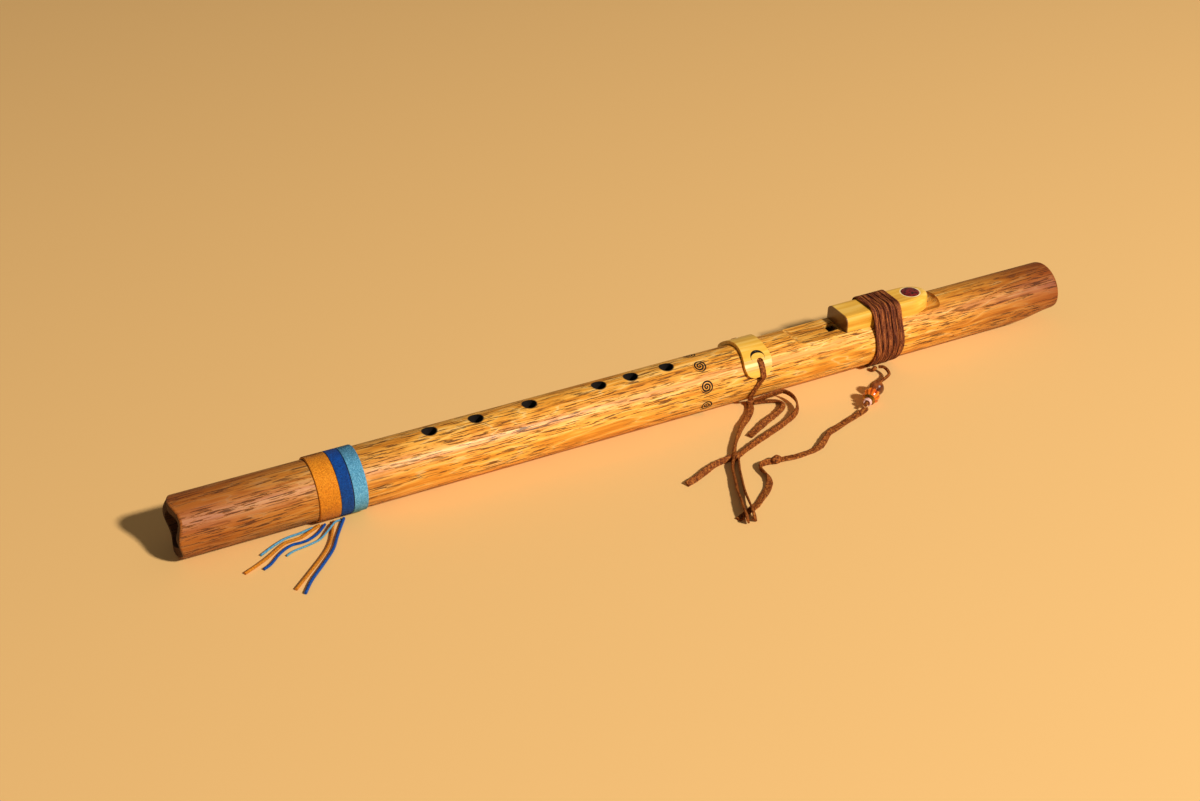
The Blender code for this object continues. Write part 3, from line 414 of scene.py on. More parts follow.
def leather(name, dark, middle, light, streak):
    """Tanned leather, cut into lace: matt, with a rough nap, and patches or streaks at the scale streak.

    The nap is drawn at 0.38 mm and the fibres at 0.67 mm, coarser than real ones, so that they show.
    """
    lace = Finish(name)
    nap = lace.add("TexNoise", lace.place, marks(0.38462), 5.0, 0.65)
    patches = lace.add("VectorMath MULTIPLY", lace.place, streak)
    patches = lace.add("TexNoise", patches, 1.0, 4.0, 0.7)
    fibre = lace.add("TexVoronoi", Vector=lace.place, Scale=marks(0.66667))
    tone = lace.add("Math MULTIPLY_ADD", patches, 0.65, lace.add("Math MULTIPLY", nap, 0.35))
    base = lace.add("ValToRGB", tone, stops=((0.40, dark), (0.5, middle), (0.61, light)))
    height = lace.add("Math MULTIPLY_ADD", fibre, 0.5, nap)
    normal = lace.add("Bump", Height=height, Distance=NAP_DEPTH, Strength=1.0)
    rough = lace.add("Math MULTIPLY_ADD", nap, 0.3, 0.6)
    return lace.finish(base, rough, Normal=normal, Specular_IOR_Level=0.2)


def thread(name, dark, middle, light):
    """Spun cotton, wound on: matt, painted shade as a dark line between turns 0.45 mm apart, and a little
    fuzz.

    The turns are a sine of x / thread pitch, shifted by noise. The fuzz is drawn at 0.77 mm, coarser than a
    real fibre, so that it shows.
    """
    cotton = Finish(name)
    x = cotton.add("SeparateXYZ", cotton.place, out="X")
    spread = cotton.add("VectorMath MULTIPLY", cotton.place, grain(25, 8.333))
    wobble = cotton.add("TexNoise", spread, 1.0, 2.0, 0.55)
    turns = cotton.add("Math MULTIPLY", x, 2 * math.pi / THREAD_PITCH)
    turns = cotton.add("Math MULTIPLY_ADD", wobble, 2.2, turns)
    wave = cotton.add("Math MULTIPLY_ADD", cotton.add("Math SINE", turns), 0.5, 0.5)
    fuzz = cotton.add("TexNoise", cotton.place, marks(0.76923), 4.0, 0.75)
    # The low part of the wave is painted shade in the crease between turns
    tone = cotton.add("Math MULTIPLY_ADD", wave, 0.25, cotton.add("Math MULTIPLY", fuzz, 0.75))
    base = cotton.add("ValToRGB", tone, stops=((0.34, dark), (0.48, middle), (0.66, light)))
    height = cotton.add("Math MULTIPLY_ADD", fuzz, 0.6, wave)
    normal = cotton.add("Bump", Height=height, Distance=NAP_DEPTH, Strength=1.0)
    soft = {"Sheen_Weight": 0.05, "Sheen_Roughness": 0.5, "Specular_IOR_Level": 0.15}
    return cotton.finish(base, 0.75, Normal=normal, **soft)


def polished(name, dark, light, roughness, cloud_size, **surface):
    """A polished bead or stone: clouds of cloud_size millimetres, and a faint 0.56 mm ripple in its shine."""
    bead = Finish(name)
    cloud = bead.add("TexNoise", bead.place, marks(cloud_size), 4.0, 0.55)
    base = bead.add("ValToRGB", cloud, stops=((0.35, dark), (0.65, light)))
    ripple = bead.add("TexNoise", bead.place, marks(0.55556), 3.0, 0.55)
    normal = bead.add("Bump", Height=ripple, Distance=POLISH_DEPTH, Strength=1.0)
    return bead.finish(base, roughness, Normal=normal, **surface)


def melon_glass():
    """Orange pressed glass, with painted shade in dark red down in the grooves between its ribs.

    A point's distance from the centre, with the bead's flatness along its axis undone, is the ball's radius
    on a rib and less between the ribs.
    """
    glass = Finish("pressed_orange_glass")
    place = glass.add("VectorMath SUBTRACT", glass.place, tuple(MELON_CENTRE))
    along = glass.add("VectorMath DOT_PRODUCT", place, tuple(BEAD_WAY))
    square = glass.add("VectorMath DOT_PRODUCT", place, place)
    unflat = glass.add("Math MULTIPLY", along, along)
    unflat = glass.add("Math MULTIPLY_ADD", unflat, 1 / MELON_FLAT**2 - 1, square)
    out = glass.add("Math SQRT", unflat)
    depth = (MELON_BEAD_RADIUS - 0.0001, MELON_BEAD_RADIUS - 0.0005)
    painted_groove_shade = glass.add("MapRange", out, *depth, **EASED)
    cloud = glass.add("TexNoise", glass.place, marks(4.1667), 4.0, 0.55)
    base = glass.add("ValToRGB", cloud, stops=((0.35, "d85a08"), (0.65, "f58a18")))
    # Painted shade: the grooves between the ribs darkened to dark red
    base = glass.add("Mix", painted_groove_shade, base, colour("8c2404"), **COLOURS)
    return glass.finish(base, 0.2, Coat_Weight=0.5)


FINISHES = {
    "oak": oiled_oak(),
    "pale_wood": pale_wood(),
    # Leather cut from the hide, mottled in patches of 1.1 mm
    "leather": leather("cut_leather", "361404", "7c3a0a", "ba7430", grain(1.1111, 1.1111)),
    # Red stone, ground and polished: a small sharp highlight on a dark ground
    "stone": polished("polished_red_stone", "2a0305", "8a1a1c", 0.12, 2.0, Coat_Weight=0.6),
    # Turned wood under lacquer: warm brown with a glossy spot
    "bead_wood": polished("lacquered_bead_wood", "4a1c08", "a5561f", 0.22, 3.8462, Coat_Weight=0.5),
    "bead_melon": melon_glass(),
    # Cast brass, darkened with age: a broad dull golden shine
    "bead_gold": polished("aged_cast_brass", "5a3c14", "c99a4a", 0.32, 1.4286, Metallic=1.0),
    # Pressed milky glass: pale pink with a soft shine
    "bead_pink": polished("pressed_pink_glass", "c9857a", "f6d3c8", 0.2, 2.0),
    "thread_orange": thread("spun_orange_cotton", "8a4204", "dc8210", "f4a22c"),
    "thread_blue": thread("spun_blue_cotton", "01143a", "0246a8", "1268cc"),
    "thread_light_blue": thread("spun_light_blue_cotton", "1d5c84", "4a9cc8", "8accea"),
}
# The lacing's darker leather, streaked along its turns, which run across the flute
LACING_LEATHER = leather("dark_lacing_leather", "1e0803", "5a220c", "b86c34", grain(0.66667, 11.111))


def ringed(name, rings, slot, closed=False):
    """A shown piece that stands for the CAD node of this name and rides on the flute.

    rings[i, j] is point j of ring i. Point j of each ring is joined to point j + 1 and to the next ring by a
    four-sided face. Where closed, the last ring is joined to the first, else both end rings are filled.
    """
    rings = np.asarray(rings, float)
    rows, count = rings.shape[:2]
    row, step = np.meshgrid(np.arange(rows if closed else rows - 1), np.arange(count), indexing="ij")
    here = row * count
    beyond = (row + 1) % rows * count
    after = (step + 1) % count
    faces = np.stack([here + step, here + after, beyond + after, beyond + step], -1).reshape(-1, 4).tolist()
    if not closed:
        faces = [list(range(count)), list(range((rows - 1) * count, rows * count)), *faces]
    mesh = bpy.data.meshes.new("look_" + name)
    mesh.from_pydata(rings.reshape(-1, 3).tolist(), [], faces)
    shape = bmesh.new()
    shape.from_mesh(mesh)
    bmesh.ops.recalc_face_normals(shape, faces=shape.faces)
    shape.to_mesh(mesh)
    shape.free()
    mesh.shade_smooth()
    mesh.set_sharp_from_angle(angle=math.radians(SHARP_ANGLE))
    mesh.materials.append(FINISHES[slot])
    made = bpy.data.objects.new("look_" + name, mesh)
    bpy.context.scene.collection.objects.link(made)
    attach(made, "flute")
    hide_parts(name)
    return made


# The free cords as piece, line, width and far end, and the pieces that sit on them
CORDS = []
ON_CORD = {
    "look_bead_lace": ("look_lacing_knot", "bead_wood", "bead_melon", "bead_cap", "bead_small"),
    "look_lace_tail": ("look_lace_tail_knot",),
    "look_thong_strand_a": ("look_saddle_knot", "look_thong_knot"),
}


def say_cords():
    """Goes over the free cords once every piece is there, looking up what is on each and its length; nothing
    is done with them.
    """
    for piece, line, width, far_end in CORDS:
        on_it = [frame["nodes"].get(name) or bpy.data.objects[name] for name in ON_CORD.get(piece.name, ())]
        length = float(np.linalg.norm(np.diff(line, axis=0), axis=1).sum())
        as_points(line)


def unit(vectors):
    """Rows of vectors, each divided by its length."""
    return vectors / np.linalg.norm(vectors, axis=1)[:, None]


def run_along(line):
    """Distance along a line from its first point to each point: the sum of the steps before it."""
    steps = np.linalg.norm(np.diff(line[:, :3], axis=0), axis=1)
    return np.concatenate([[0], np.cumsum(steps)])


def smooth(points, spacing):
    """A Catmull-Rom curve through rows of numbers, resampled about every spacing of its first three columns.

    Between rows b and c, with a before and d after them, at t from 0 to 1, it is
    b + ((c - a) t + (2a - 5b + 4c - d) t^2 + (3b - a - 3c + d) t^3) / 2.
    """
    rows = np.asarray(points, float)
    padded = np.vstack([2 * rows[0] - rows[1], rows, 2 * rows[-1] - rows[-2]])
    a, b, c, d = (padded[first : first + len(rows) - 1, None] for first in range(4))
    t = np.linspace(0, 1, 24, endpoint=False)[None, :, None]
    pull = (c - a) * t + (2 * a - 5 * b + 4 * c - d) * t**2 + (3 * b - a - 3 * c + d) * t**3
    fine = np.vstack([(b + 0.5 * pull).reshape(-1, rows.shape[1]), rows[-1]])
    run = run_along(fine)
    wanted = np.linspace(0, run[-1], max(3, round(run[-1] / spacing) + 1))
    return np.column_stack([np.interp(wanted, run, column) for column in fine.T])


def in_metres(route):
    """Route rows with their first three columns turned from millimetres to metres."""
    rows = np.array(route, float)
    rows[:, :3] /= 1000
    return rows


def trimmed(rows, lead, tail=0.0):
    """The rows that lie at least lead from the first one and tail from the last, where a knot sits."""
    from_start = np.linalg.norm(rows[:, :3] - rows[0, :3], axis=1)
    from_end = np.linalg.norm(rows[:, :3] - rows[-1, :3], axis=1)
    return rows[(from_start >= lead) & (from_end >= tail)]


def off_barrel(line, reach):
    """Moves points of a cord toward -Y until it clears the barrel by the fit. reach is its half size there.

    Where y^2 + drop^2 is under the wanted distance squared, y becomes -sqrt(distance^2 - drop^2), drop being
    the height over the barrel's axis.
    """
    wanted = BARREL_RADIUS + FIT * 1.5 + reach
    drop = line[:, 2] - AXIS_HEIGHT
    inside = (np.abs(drop) < wanted) & (line[:, 1] ** 2 + drop**2 < wanted**2)
    line[inside, 1] = -np.sqrt(wanted**2 - drop[inside] ** 2)
    return line


def ragged(count, seed, swell):
    """Width factors along one cut edge of leather: slow swells and small nicks, plain at both ends.

    1 + fade * swell * (0.5 + 0.45 * slow + 0.25 * nicks), the bracket held between -0.6 and 1.3. nicks are
    random draws, slow is a second row of draws blended over a bell-shaped window of 17 points, with the same
    spread as the nicks, and fade rises from 0 to 1 over 5 points at each end.
    """
    nicks = np.random.default_rng(seed).normal(0, 1, count)
    window = np.hanning(17) / math.sqrt((np.hanning(17) ** 2).sum())
    slow = np.convolve(np.random.default_rng(seed + 1).normal(0, 1, count + 16), window, mode="valid")
    fade = np.clip(np.minimum(np.arange(count), np.arange(count)[::-1]) / 5, 0, 1)
    return 1 + fade * swell * np.clip(0.5 + 0.45 * slow + 0.25 * nicks, -0.6, 1.3)


def flat_strap(name, line, across, width, thickness, swell):
    """A flat leather strap along line: a rounded oblong section whose two cut edges are ragged.

    At angle t of the section, the point lies width / 2 * |cos t|^0.35 * edge factor along across and
    thickness / 2 * |sin t|^0.45 along the normal, with the signs of cos t and sin t. It stays over the table.
    """
    along = unit(np.gradient(line, axis=0))
    across = unit(across - (across * along).sum(1)[:, None] * along)
    normal = np.cross(along, across)
    turns = np.linspace(0, 2 * math.pi, 20, endpoint=False)
    u = width / 2 * np.sign(np.cos(turns)) * np.abs(np.cos(turns)) ** 0.35
    v = thickness / 2 * np.sign(np.sin(turns)) * np.abs(np.sin(turns)) ** 0.45
    seed = len(name) * 7 + len(line)
    edge_a, edge_b = (ragged(len(line), each, swell)[:, None] for each in (seed, seed + 5))
    edge = np.where(u > 0, edge_a, edge_b)
    rings = line[:, None] + across[:, None] * (u * edge)[..., None] + normal[:, None] * v[None, :, None]
    rings[..., 2] = np.maximum(rings[..., 2], 0.0)
    return ringed(name, rings, "leather")


def loose_strap(name, route, width=STRAND_WIDTH, lead=0.0, tail=0.0):
    """A free strap on the table, never below it.

    route rows are x, y, z in millimetres and a roll in degrees, at which 0 lies flat and 90 stands on edge.
    lead and tail are left free of strap at the two ends, for a knot. Across is cos(roll) * level + sin(roll)
    * up, level being at right angles to the strap along the table.
    """
    rows = trimmed(smooth(in_metres(route), STRAP_SPACING), lead, tail)
    line = rows[:, :3].copy()
    roll = np.radians(rows[:, 3])
    half_height = width / 2 * np.abs(np.sin(roll)) + STRAND_THICKNESS / 2 * np.abs(np.cos(roll))
    line[:, 2] = np.maximum(line[:, 2], half_height + FLOOR_GAP)
    line = off_barrel(line, width / 2 + FLOOR_GAP)
    level = unit(np.cross(np.gradient(line, axis=0), UP))
    across = level * np.cos(roll)[:, None] + UP * np.sin(roll)[:, None]
    piece = flat_strap(name, line, across, width, STRAND_THICKNESS, STRAP_SWELL)
    CORDS.append((piece, line, width, "knot" if name in TIED_STRAPS else "bare"))


def round_cord(name, route, radius, slot, spacing_radii=5, lead=0.0):
    """A free round cord through route points in millimetres: one leather lace, or three plies of thread.

    At angle t of the section the radius is radius * (1 - depth * (1 - |cos(3 (t + twist) / 2)|)), twist being
    one turn for every five radii along the cord. A leather lace has no depth, and so it is plain round. The
    route is first smoothed into points spacing_radii radii apart, and kept off the table and the barrel.
    """
    rows = trimmed(smooth(in_metres(route), radius * spacing_radii), lead)
    rows[:, 2] = np.maximum(rows[:, 2], radius + FLOOR_GAP)
    rows = off_barrel(rows, radius + LACE_THICKNESS)
    line = smooth(rows, radius * 0.8)
    along = unit(np.gradient(line, axis=0))
    side = unit(np.cross(along, UP))
    rise = np.cross(side, along)
    sides, depth, far_end = (10, 0.0, "knot") if slot == "leather" else (30, PLY_DEPTH, "bare")
    turns = np.linspace(0, 2 * math.pi, sides, endpoint=False)
    twist = run_along(line)[:, None] / (radius * 5) * 2 * math.pi
    ring = radius * (1 - depth * (1 - np.abs(np.cos(PLIES * (turns[None] + twist) / 2))))
    sideways = side[:, None] * (ring * np.cos(turns))[..., None]
    upward = rise[:, None] * (ring * np.sin(turns))[..., None]
    piece = ringed(name, line[:, None] + sideways + upward, slot)
    CORDS.append((piece, line, radius * 2, far_end))


def knot(name, centre, radii, turn):
    """A knot of strap: a ball with wraps standing up round it. centre and radii are in millimetres.

    At tilt a from its foot and spin b round it, the ball is drawn in by wraps = 0.16 * (1 - |cos(1.5 b +
    2.4 cos a)|) + 0.05 * sin(3 b)^2 sideways and by half of that upright, then stretched by radii and turned
    by turn degrees.
    """
    tilts = np.linspace(0.02, math.pi - 0.02, 40)
    spins = np.linspace(0, 2 * math.pi, 64, endpoint=False)
    tilt, spin = np.meshgrid(tilts, spins, indexing="ij")
    wraps = 0.16 * (1 - np.abs(np.cos(1.5 * spin + 2.4 * np.cos(tilt)))) + 0.05 * np.sin(3 * spin) ** 2
    spread = np.sin(tilt) * (1 - wraps)
    ball = np.stack([spread * np.cos(spin), spread * np.sin(spin), -np.cos(tilt) * (1 - wraps * 0.5)], -1)
    x, y, z = np.moveaxis(ball * np.asarray(radii, float) / 1000, -1, 0)
    c, s = math.cos(math.radians(turn)), math.sin(math.radians(turn))
    turned = np.stack([x * c - y * s, x * s + y * c, z], -1)
    ringed(name, turned + np.asarray(centre, float) / 1000, "leather")


def lace_line(angle):
    """The lacing's middle line at these angles from the top, in degrees.

    On the barrel it is a circle. Over the block it runs flat, round the block's edge and down the slope that
    touches the barrel, at a distance along that grows with the angle. Each turn steps one pitch toward the
    foot while it passes under the barrel.
    """
    lift = FIT + LACE_THICKNESS / 2
    bend = BLOCK_EDGE + lift
    corner_y, corner_z = BLOCK_CORNER
    reach = math.hypot(corner_y, corner_z)
    leave = math.atan2(corner_z, corner_y) - math.acos((BARREL_RADIUS - BLOCK_EDGE) / reach)
    arc = bend * (math.pi / 2 - leave)
    slope = math.sqrt(reach**2 - (BARREL_RADIUS - BLOCK_EDGE) ** 2)
    barrel_start = 90 - math.degrees(leave)
    mirrored = angle % 360 > 180
    part = np.where(mirrored, 360 - angle % 360, angle % 360)
    run = (corner_y + arc + slope) * part / barrel_start
    turn = math.pi / 2 - np.clip(run - corner_y, 0, arc) / bend
    past = np.maximum(run - corner_y - arc, 0)
    block_y = np.minimum(run, corner_y) + bend * np.cos(turn) + past * math.sin(leave)
    block_z = corner_z + bend * np.sin(turn) - past * math.cos(leave)
    on_barrel = part >= barrel_start
    y = np.where(on_barrel, (BARREL_RADIUS + lift) * np.sin(np.radians(part)), block_y)
    z = np.where(on_barrel, (BARREL_RADIUS + lift) * np.cos(np.radians(part)), block_z)
    advance = np.clip((angle % 360 - ADVANCE_FROM) / (ADVANCE_TO - ADVANCE_FROM), 0, 1)
    station = LACE_FIRST - LACE_PITCH * (angle // 360 + advance - 1)
    return np.column_stack([FOOT_X + station, np.where(mirrored, y, -y), AXIS_HEIGHT + z])


def lacing():
    """Five turns of one flat lace round block and barrel, pressed flat where it stands."""
    line = lace_line(np.arange(LACE_START_ANGLE, LACE_TURNS * 360 + LACE_END_ANGLE, LACE_STEP_ANGLE))
    across = np.tile((1.0, 0.0, 0.0), (len(line), 1))
    piece = flat_strap("block_lacing", line, across, LACE_WIDTH, LACE_THICKNESS, LACING_SWELL)
    piece.data.materials[0] = LACING_LEATHER


def around(route):
    """World points from rows of distance from the foot, angle from the top toward -Y in degrees, and radius.

    x = foot + station, y = -radius * sin(angle), z = axis height + radius * cos(angle).
    """
    station, angle, radius = np.asarray(route, float).T
    turn = np.radians(angle)
    return np.column_stack([FOOT_X + station, -radius * np.sin(turn), AXIS_HEIGHT + radius * np.cos(turn)])


def saddle_thong():
    """One flat thong: from the knot under the barrel over the saddle's far end, under it and down again.

    Rows are station, angle and radius. The thong lies tight on the barrel, outer on the saddle's end and
    below the saddle's middle. On the near side it comes back as it went up, short of the last four rows.
    """
    half = THONG_THICKNESS / 2
    tight = BARREL_RADIUS + THONG_GAP + half
    below = BARREL_RADIUS + FIT + half + 0.0001
    outer = SADDLE_OUTER + FIT + half
    up_far_side = [
        (0.3452, -172, tight),
        (0.3445, -155, tight),
        (0.3432, -135, tight),
        (0.3425, -118, tight),
        (0.3440, -104, tight),
        (0.3464, -90, tight + 0.0002),
        (0.3477, -82, tight + 0.0012),
        (0.3481, -76, outer),
        (0.3483, -70, outer),
        (0.3484, -60, outer),
        (0.3484, -53, outer),
        (0.3484, -49.4, outer - 0.0002),
        (0.3484, -48.0, outer - 0.0012),
        (0.3484, -46.6, below + 0.0005),
        (0.3484, -44.2, below),
    ]
    under_saddle = [(0.3484, angle, below) for angle in range(-36, 37, 9)]
    down_near_side = [(station, -angle, radius) for station, angle, radius in up_far_side[:3:-1]]
    to_knot = [
        (0.3438, 104, tight + 0.0001),
        (0.3425, 118, tight + 0.0004),
        (0.3432, 127, tight + 0.0004),
        (0.3444, 137, tight + 0.0004),
    ]
    line = smooth(around(up_far_side + under_saddle + down_near_side + to_knot), THONG_SPACING)
    across = np.tile((1.0, 0.0, 0.0), (len(line), 1))
    flat_strap("saddle_thong", line, across, THONG_WIDTH, THONG_THICKNESS, 0.0)


def bands():
    """Three bands of wound thread: one helical ridge a turn, flat where they lie on the table.

    Outside radius at station x and angle t: high - ridge * (1 - |sin(pi * x / pitch + t / 2)|), less
    edge * (1 - sqrt(1 - (1 - near)^2)), near being the distance from the band's end over edge, at most 1.
    """
    low = BARREL_RADIUS + FIT
    high = low + BAND_THICKNESS
    edge = BAND_THICKNESS * 0.45
    turns = np.linspace(0, 2 * math.pi, 160, endpoint=False)
    for name, start, length, slot in BANDS:
        stations = np.linspace(0, length, int(length / THREAD_PITCH * 8))
        x, t = np.meshgrid(stations, turns, indexing="ij")
        ridge = np.abs(np.sin(math.pi * x / THREAD_PITCH + t / 2))
        near = np.clip(np.minimum(x, length - x) / edge, 0, 1)
        outside = high - THREAD_RIDGE * (1 - ridge) - edge * (1 - np.sqrt(1 - (1 - near) ** 2))
        inside = np.full((1, len(turns)), low)
        radius = np.vstack([inside, outside, inside])
        along = np.vstack([x[:1], x, x[-1:]])
        rise = np.maximum(AXIS_HEIGHT + radius * np.cos(turns), 0.0)
        rings = np.stack([FOOT_X + start + along, -radius * np.sin(turns), rise], -1)
        ringed(name, rings, slot, closed=True)


def bead_line():
    """The lace that comes out of the lacing, through the beads, with the knot that it starts from."""
    inlet = tuple((BEAD_START - BEAD_WAY * 0.0075) * 1000)
    route = [
        LACING_KNOT,
        (149.6, -15.6, 4.2),
        (151.2, -18.4, 4.6),
        (151.0, -22.0, 4.2),
        (149.4, -25.6, 4.3),
        (144.5, -28.9, 4.8),
        inlet,
        tuple(BEAD_START * 1000),
        tuple(MELON_CENTRE * 1000),
        tuple(SMALL_BEAD_CENTRE * 1000),
        BEAD_OUTLET,
    ]
    round_cord("bead_lace", route, BEAD_LACE_RADIUS, "leather", 3, lead=0.0016)
    knot("lacing_knot", LACING_KNOT, (2.2, 1.7, 1.7), 30)


def lace_tail():
    """Past the beads: a flat tail to its knot, then the end that bends round under the thong tails."""
    x, y, _ = BEAD_OUTLET
    tail = [
        (x + 0.4, y + 0.3, 3.4, 20),
        (x - 0.8, y - 0.7, 2.6, 20),
        (104.8, -52.4, 1.0, 10),
        (94.5, -55.5, 1.0, 10),
        (84.5, -59.0, 1.0, 20),
        (79.0, -63.8, 1.4, 55),
        (72.0, -68.6, 1.4, 30),
        (64.9, -70.6, 1.0, 10),
        (54.0, -71.0, 1.0, 5),
        (40.6, -70.6, 2.0, 5),
    ]
    loose_strap("lace_tail", tail, tail=0.0022)
    knot("lace_tail_knot", (40.6, -70.6, 2.7), (3.6, 2.7, 2.6), 5)
    end = [
        (40.6, -70.6, 1.4, 60),
        (34.5, -69.4, 1.9, 80),
        (29.6, -71.0, 1.9, 80),
        (28.6, -75.5, 1.8, 70),
        (28.8, -81.1, 1.4, 45),
        (26.3, -86.6, 1.0, 20),
        (20.6, -92.4, 0.7, 0),
        (11.0, -99.8, 0.6, 0),
        (3.0, -103.7, 0.6, 0),
        (-6.6, -107.6, 0.6, 0),
    ]
    loose_strap("lace_tail_end", end, lead=0.0022)


def strands():
    """The thong's ends on the table: three strands from the saddle's knot to a second knot."""
    knot("saddle_knot", (59.2, -11.6, 2.4), (3.0, 1.8, 1.8), 10)
    knot("thong_knot", (22.0, -57.2, 2.5), (2.7, 3.1, 2.4), 0)
    straight = [
        (59.2, -11.6, 2.2, 30),
        (56.4, -17.4, 1.5, 20),
        (49.1, -24.8, 1.4, 30),
        (42.5, -30.5, 1.6, 60),
        (36.6, -36.7, 1.8, 75),
        (30.0, -44.0, 1.8, 80),
        (22.6, -54.4, 1.8, 60),
    ]
    loose_strap("thong_strand_a", straight, lead=0.0012)
    outer_loop = [
        (60.4, -11.6, 2.6, 60),
        (66.6, -11.4, 3.6, 70),
        (72.0, -11.6, 5.2, 70),
        (78.4, -13.5, 6.0, 70),
        (82.5, -19.0, 5.4, 75),
        (82.4, -26.5, 4.2, 75),
        (77.7, -33.6, 2.8, 70),
        (69.2, -38.2, 2.0, 75),
        (58.0, -43.0, 1.9, 80),
        (44.0, -48.0, 1.8, 80),
        (30.0, -53.9, 1.8, 80),
        (27.0, -55.4, 1.8, 80),
        (23.6, -56.6, 2.0, 80),
    ]
    loose_strap("thong_strand_b", outer_loop)
    inner_loop = [
        (60.6, -12.2, 1.6, 10),
        (64.5, -12.4, 1.2, 10),
        (70.5, -14.0, 1.2, 10),
        (75.4, -16.8, 1.3, 20),
        (76.4, -20.6, 1.6, 40),
        (73.4, -25.0, 1.8, 60),
        (66.0, -29.4, 1.8, 60),
        (57.0, -33.2, 1.6, 45),
        (49.5, -37.0, 1.3, 25),
        (41.0, -41.6, 1.2, 10),
    ]
    loose_strap("thong_strand_c", inner_loop)


def thong_tails():
    """The three tails past the second knot, of which the dark and the pale one cross the lace tail's end."""
    left = [
        (20.6, -57.0, 1.8, 60),
        (18.4, -56.6, 1.6, 60),
        (12.0, -57.2, 1.6, 55),
        (4.0, -59.4, 1.5, 50),
        (-5.5, -64.0, 1.4, 45),
        (-15.4, -67.2, 1.2, 30),
    ]
    loose_strap("thong_tail_left", left)
    dark = [
        (20.6, -58.4, 1.8, 75),
        (19.0, -60.0, 1.8, 75),
        (14.6, -66.4, 1.8, 70),
        (10.8, -75.5, 1.8, 65),
        (6.4, -85.4, 1.9, 65),
        (2.6, -95.4, 3.2, 65),
        (-0.4, -103.0, 3.7, 65),
        (-2.2, -108.6, 3.7, 65),
        (-4.4, -113.8, 2.8, 65),
    ]
    loose_strap("thong_tail_dark", dark, 0.0036)
    pale = [
        (22.0, -59.2, 2.2, 80),
        (21.6, -61.4, 1.8, 80),
        (18.0, -68.4, 1.8, 80),
        (13.9, -77.6, 1.8, 80),
        (9.6, -87.6, 2.0, 80),
        (6.2, -96.4, 3.4, 75),
        (4.2, -102.6, 3.7, 70),
        (2.4, -108.6, 3.3, 60),
        (0.4, -113.4, 1.6, 50),
    ]
    loose_strap("thong_tail_pale", pale, 0.003)


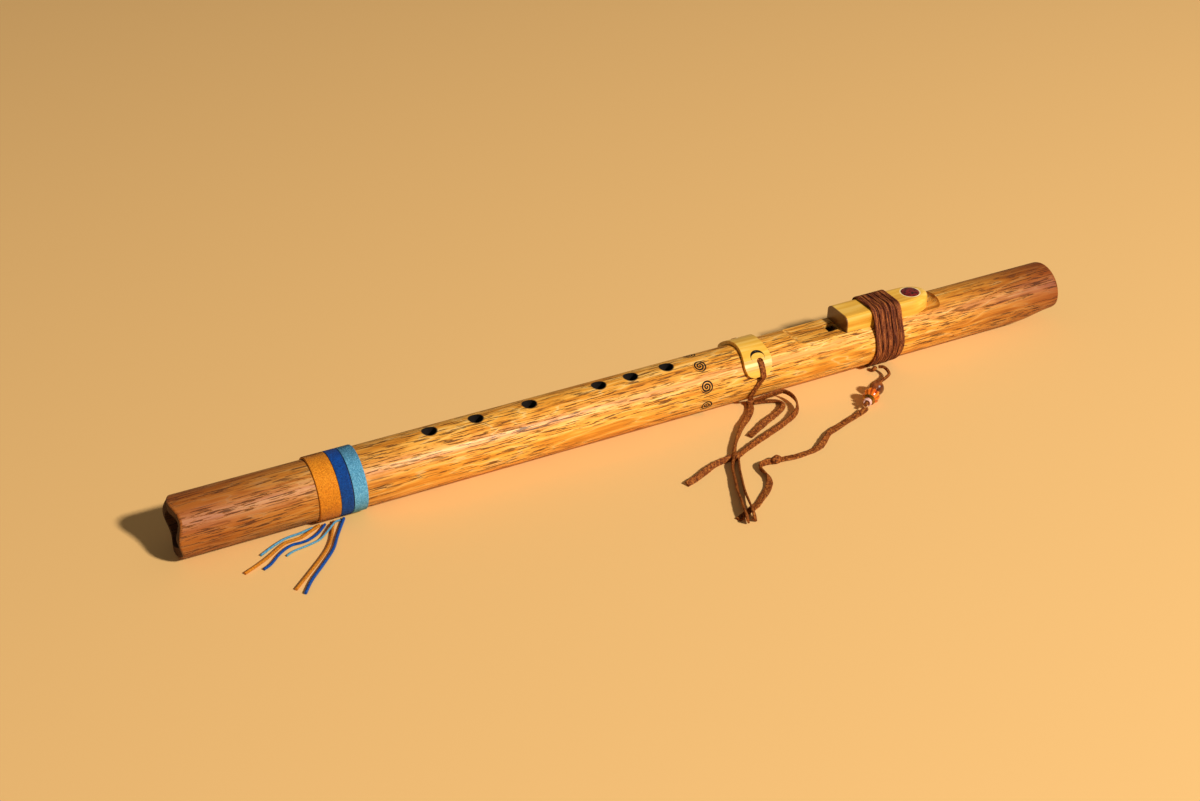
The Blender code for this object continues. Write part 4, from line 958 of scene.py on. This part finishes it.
def yarns():
    """The two loose ends of each thread, lying on the table from under the bands.

    Each route is x, y and height in millimetres. A height of 0 is raised until the thread lies on the table.
    """
    orange_left = [
        (-209.5, -9.9, 0.0),
        (-217.4, -13.9, 0.0),
        (-222.8, -16.2, 0.0),
        (-229.7, -16.4, 0.0),
        (-235.2, -19.2, 0.0),
        (-242.1, -24.0, 0.0),
        (-249.8, -28.4, 0.0),
        (-257.6, -32.1, 0.0),
    ]
    round_cord("orange_tail_left", orange_left, 0.0009, "thread_orange")
    blue_left = [
        (-206.5, -10.4, 0.0),
        (-213.0, -16.6, 0.0),
        (-220.5, -20.0, 0.0),
        (-228.6, -20.0, 0.0),
        (-236.0, -24.0, 0.0),
        (-243.0, -30.5, 0.0),
        (-247.8, -33.2, 0.0),
    ]
    round_cord("blue_tail_left", blue_left, 0.0008, "thread_blue")
    light_blue_thin = [
        (-198.0, -10.2, 0.6),
        (-201.0, -12.6, 2.4),
        (-204.0, -15.6, 3.0),
        (-207.4, -18.4, 2.4),
        (-213.0, -21.6, 0.8),
        (-220.0, -23.6, 0.0),
        (-228.6, -25.0, 0.0),
        (-233.6, -27.4, 0.0),
    ]
    round_cord("light_blue_tail_thin", light_blue_thin, 0.0006, "thread_light_blue")
    orange_right = [
        (-201.6, -10.2, 0.0),
        (-207.6, -23.4, 0.0),
        (-213.6, -32.6, 0.0),
        (-224.0, -43.2, 0.0),
        (-238.2, -56.6, 0.0),
    ]
    round_cord("orange_tail_right", orange_right, 0.0009, "thread_orange")
    blue_right = [
        (-195.6, -9.9, 0.0),
        (-203.6, -22.4, 0.0),
        (-210.0, -33.2, 0.0),
        (-219.0, -43.2, 0.0),
        (-228.5, -53.0, 0.0),
        (-235.0, -61.8, 0.0),
    ]
    round_cord("blue_tail_right", blue_right, 0.0009, "thread_blue")
    light_blue_left = [
        (-213.5, -10.2, 0.0),
        (-221.0, -11.8, 0.0),
        (-229.0, -12.6, 0.0),
        (-237.0, -16.0, 0.0),
        (-245.6, -20.9, 0.0),
    ]
    round_cord("light_blue_tail_left", light_blue_left, 0.0007, "thread_light_blue")


def paint():
    """Puts its finish on each CAD node."""
    slots = {entry["node"]: entry["material_slot"] for entry in frame["record"]["subparts"]}
    for name, node in frame["nodes"].items():
        node.data.materials.clear()
        node.data.materials.append(FINISHES[slots[name]])
        node.data.polygons.foreach_set("material_index", np.zeros(len(node.data.polygons), np.int32))


def studio():
    """Plain pale floor, a key lamp on the photo's lit side, a weak fill lamp, and the photo's camera."""
    bpy.ops.mesh.primitive_plane_add(size=FLOOR_SIZE, location=(0, 0, 0))
    floor = bpy.context.object
    floor.name = "floor"
    floor.data.materials.append(Finish("plain_matt_floor").finish(colour("eec07c"), 0.8))
    world = bpy.data.worlds.new("studio")
    bpy.context.scene.world = world
    world.use_nodes = True
    world.node_tree.nodes["Background"].inputs["Color"].default_value = colour("fff1dc")
    world.node_tree.nodes["Background"].inputs["Strength"].default_value = WORLD_STRENGTH
    for lamp in LAMPS:
        light = bpy.data.lights.new(lamp["name"], "AREA")
        light.size = lamp["size"]
        light.energy = lamp["power"]
        light.color = LAMP_COLOUR
        placed = bpy.data.objects.new(lamp["name"], light)
        way = np.array(lamp["way"]) / np.linalg.norm(lamp["way"])
        placed.location = (way * lamp["far"]).tolist()
        placed.rotation_euler = (math.acos(way[2]), 0.0, math.atan2(way[0], -way[1]))
        bpy.context.scene.collection.objects.link(placed)
    data = bpy.data.cameras.new("camera")
    data.lens = CAMERA_LENS
    data.sensor_width = CAMERA_SENSOR
    camera = bpy.data.objects.new("camera", data)
    camera.location = CAMERA_PLACE
    camera.rotation_euler = (math.radians(90 - CAMERA_DOWN), 0.0, math.radians(-CAMERA_AZIMUTH))
    bpy.context.scene.collection.objects.link(camera)
    bpy.context.scene.camera = camera
    bpy.context.scene.view_settings.view_transform = "Standard"


studio()
paint()
lacing()
saddle_thong()
bands()
bead_line()
lace_tail()
strands()
thong_tails()
yarns()
say_cords()
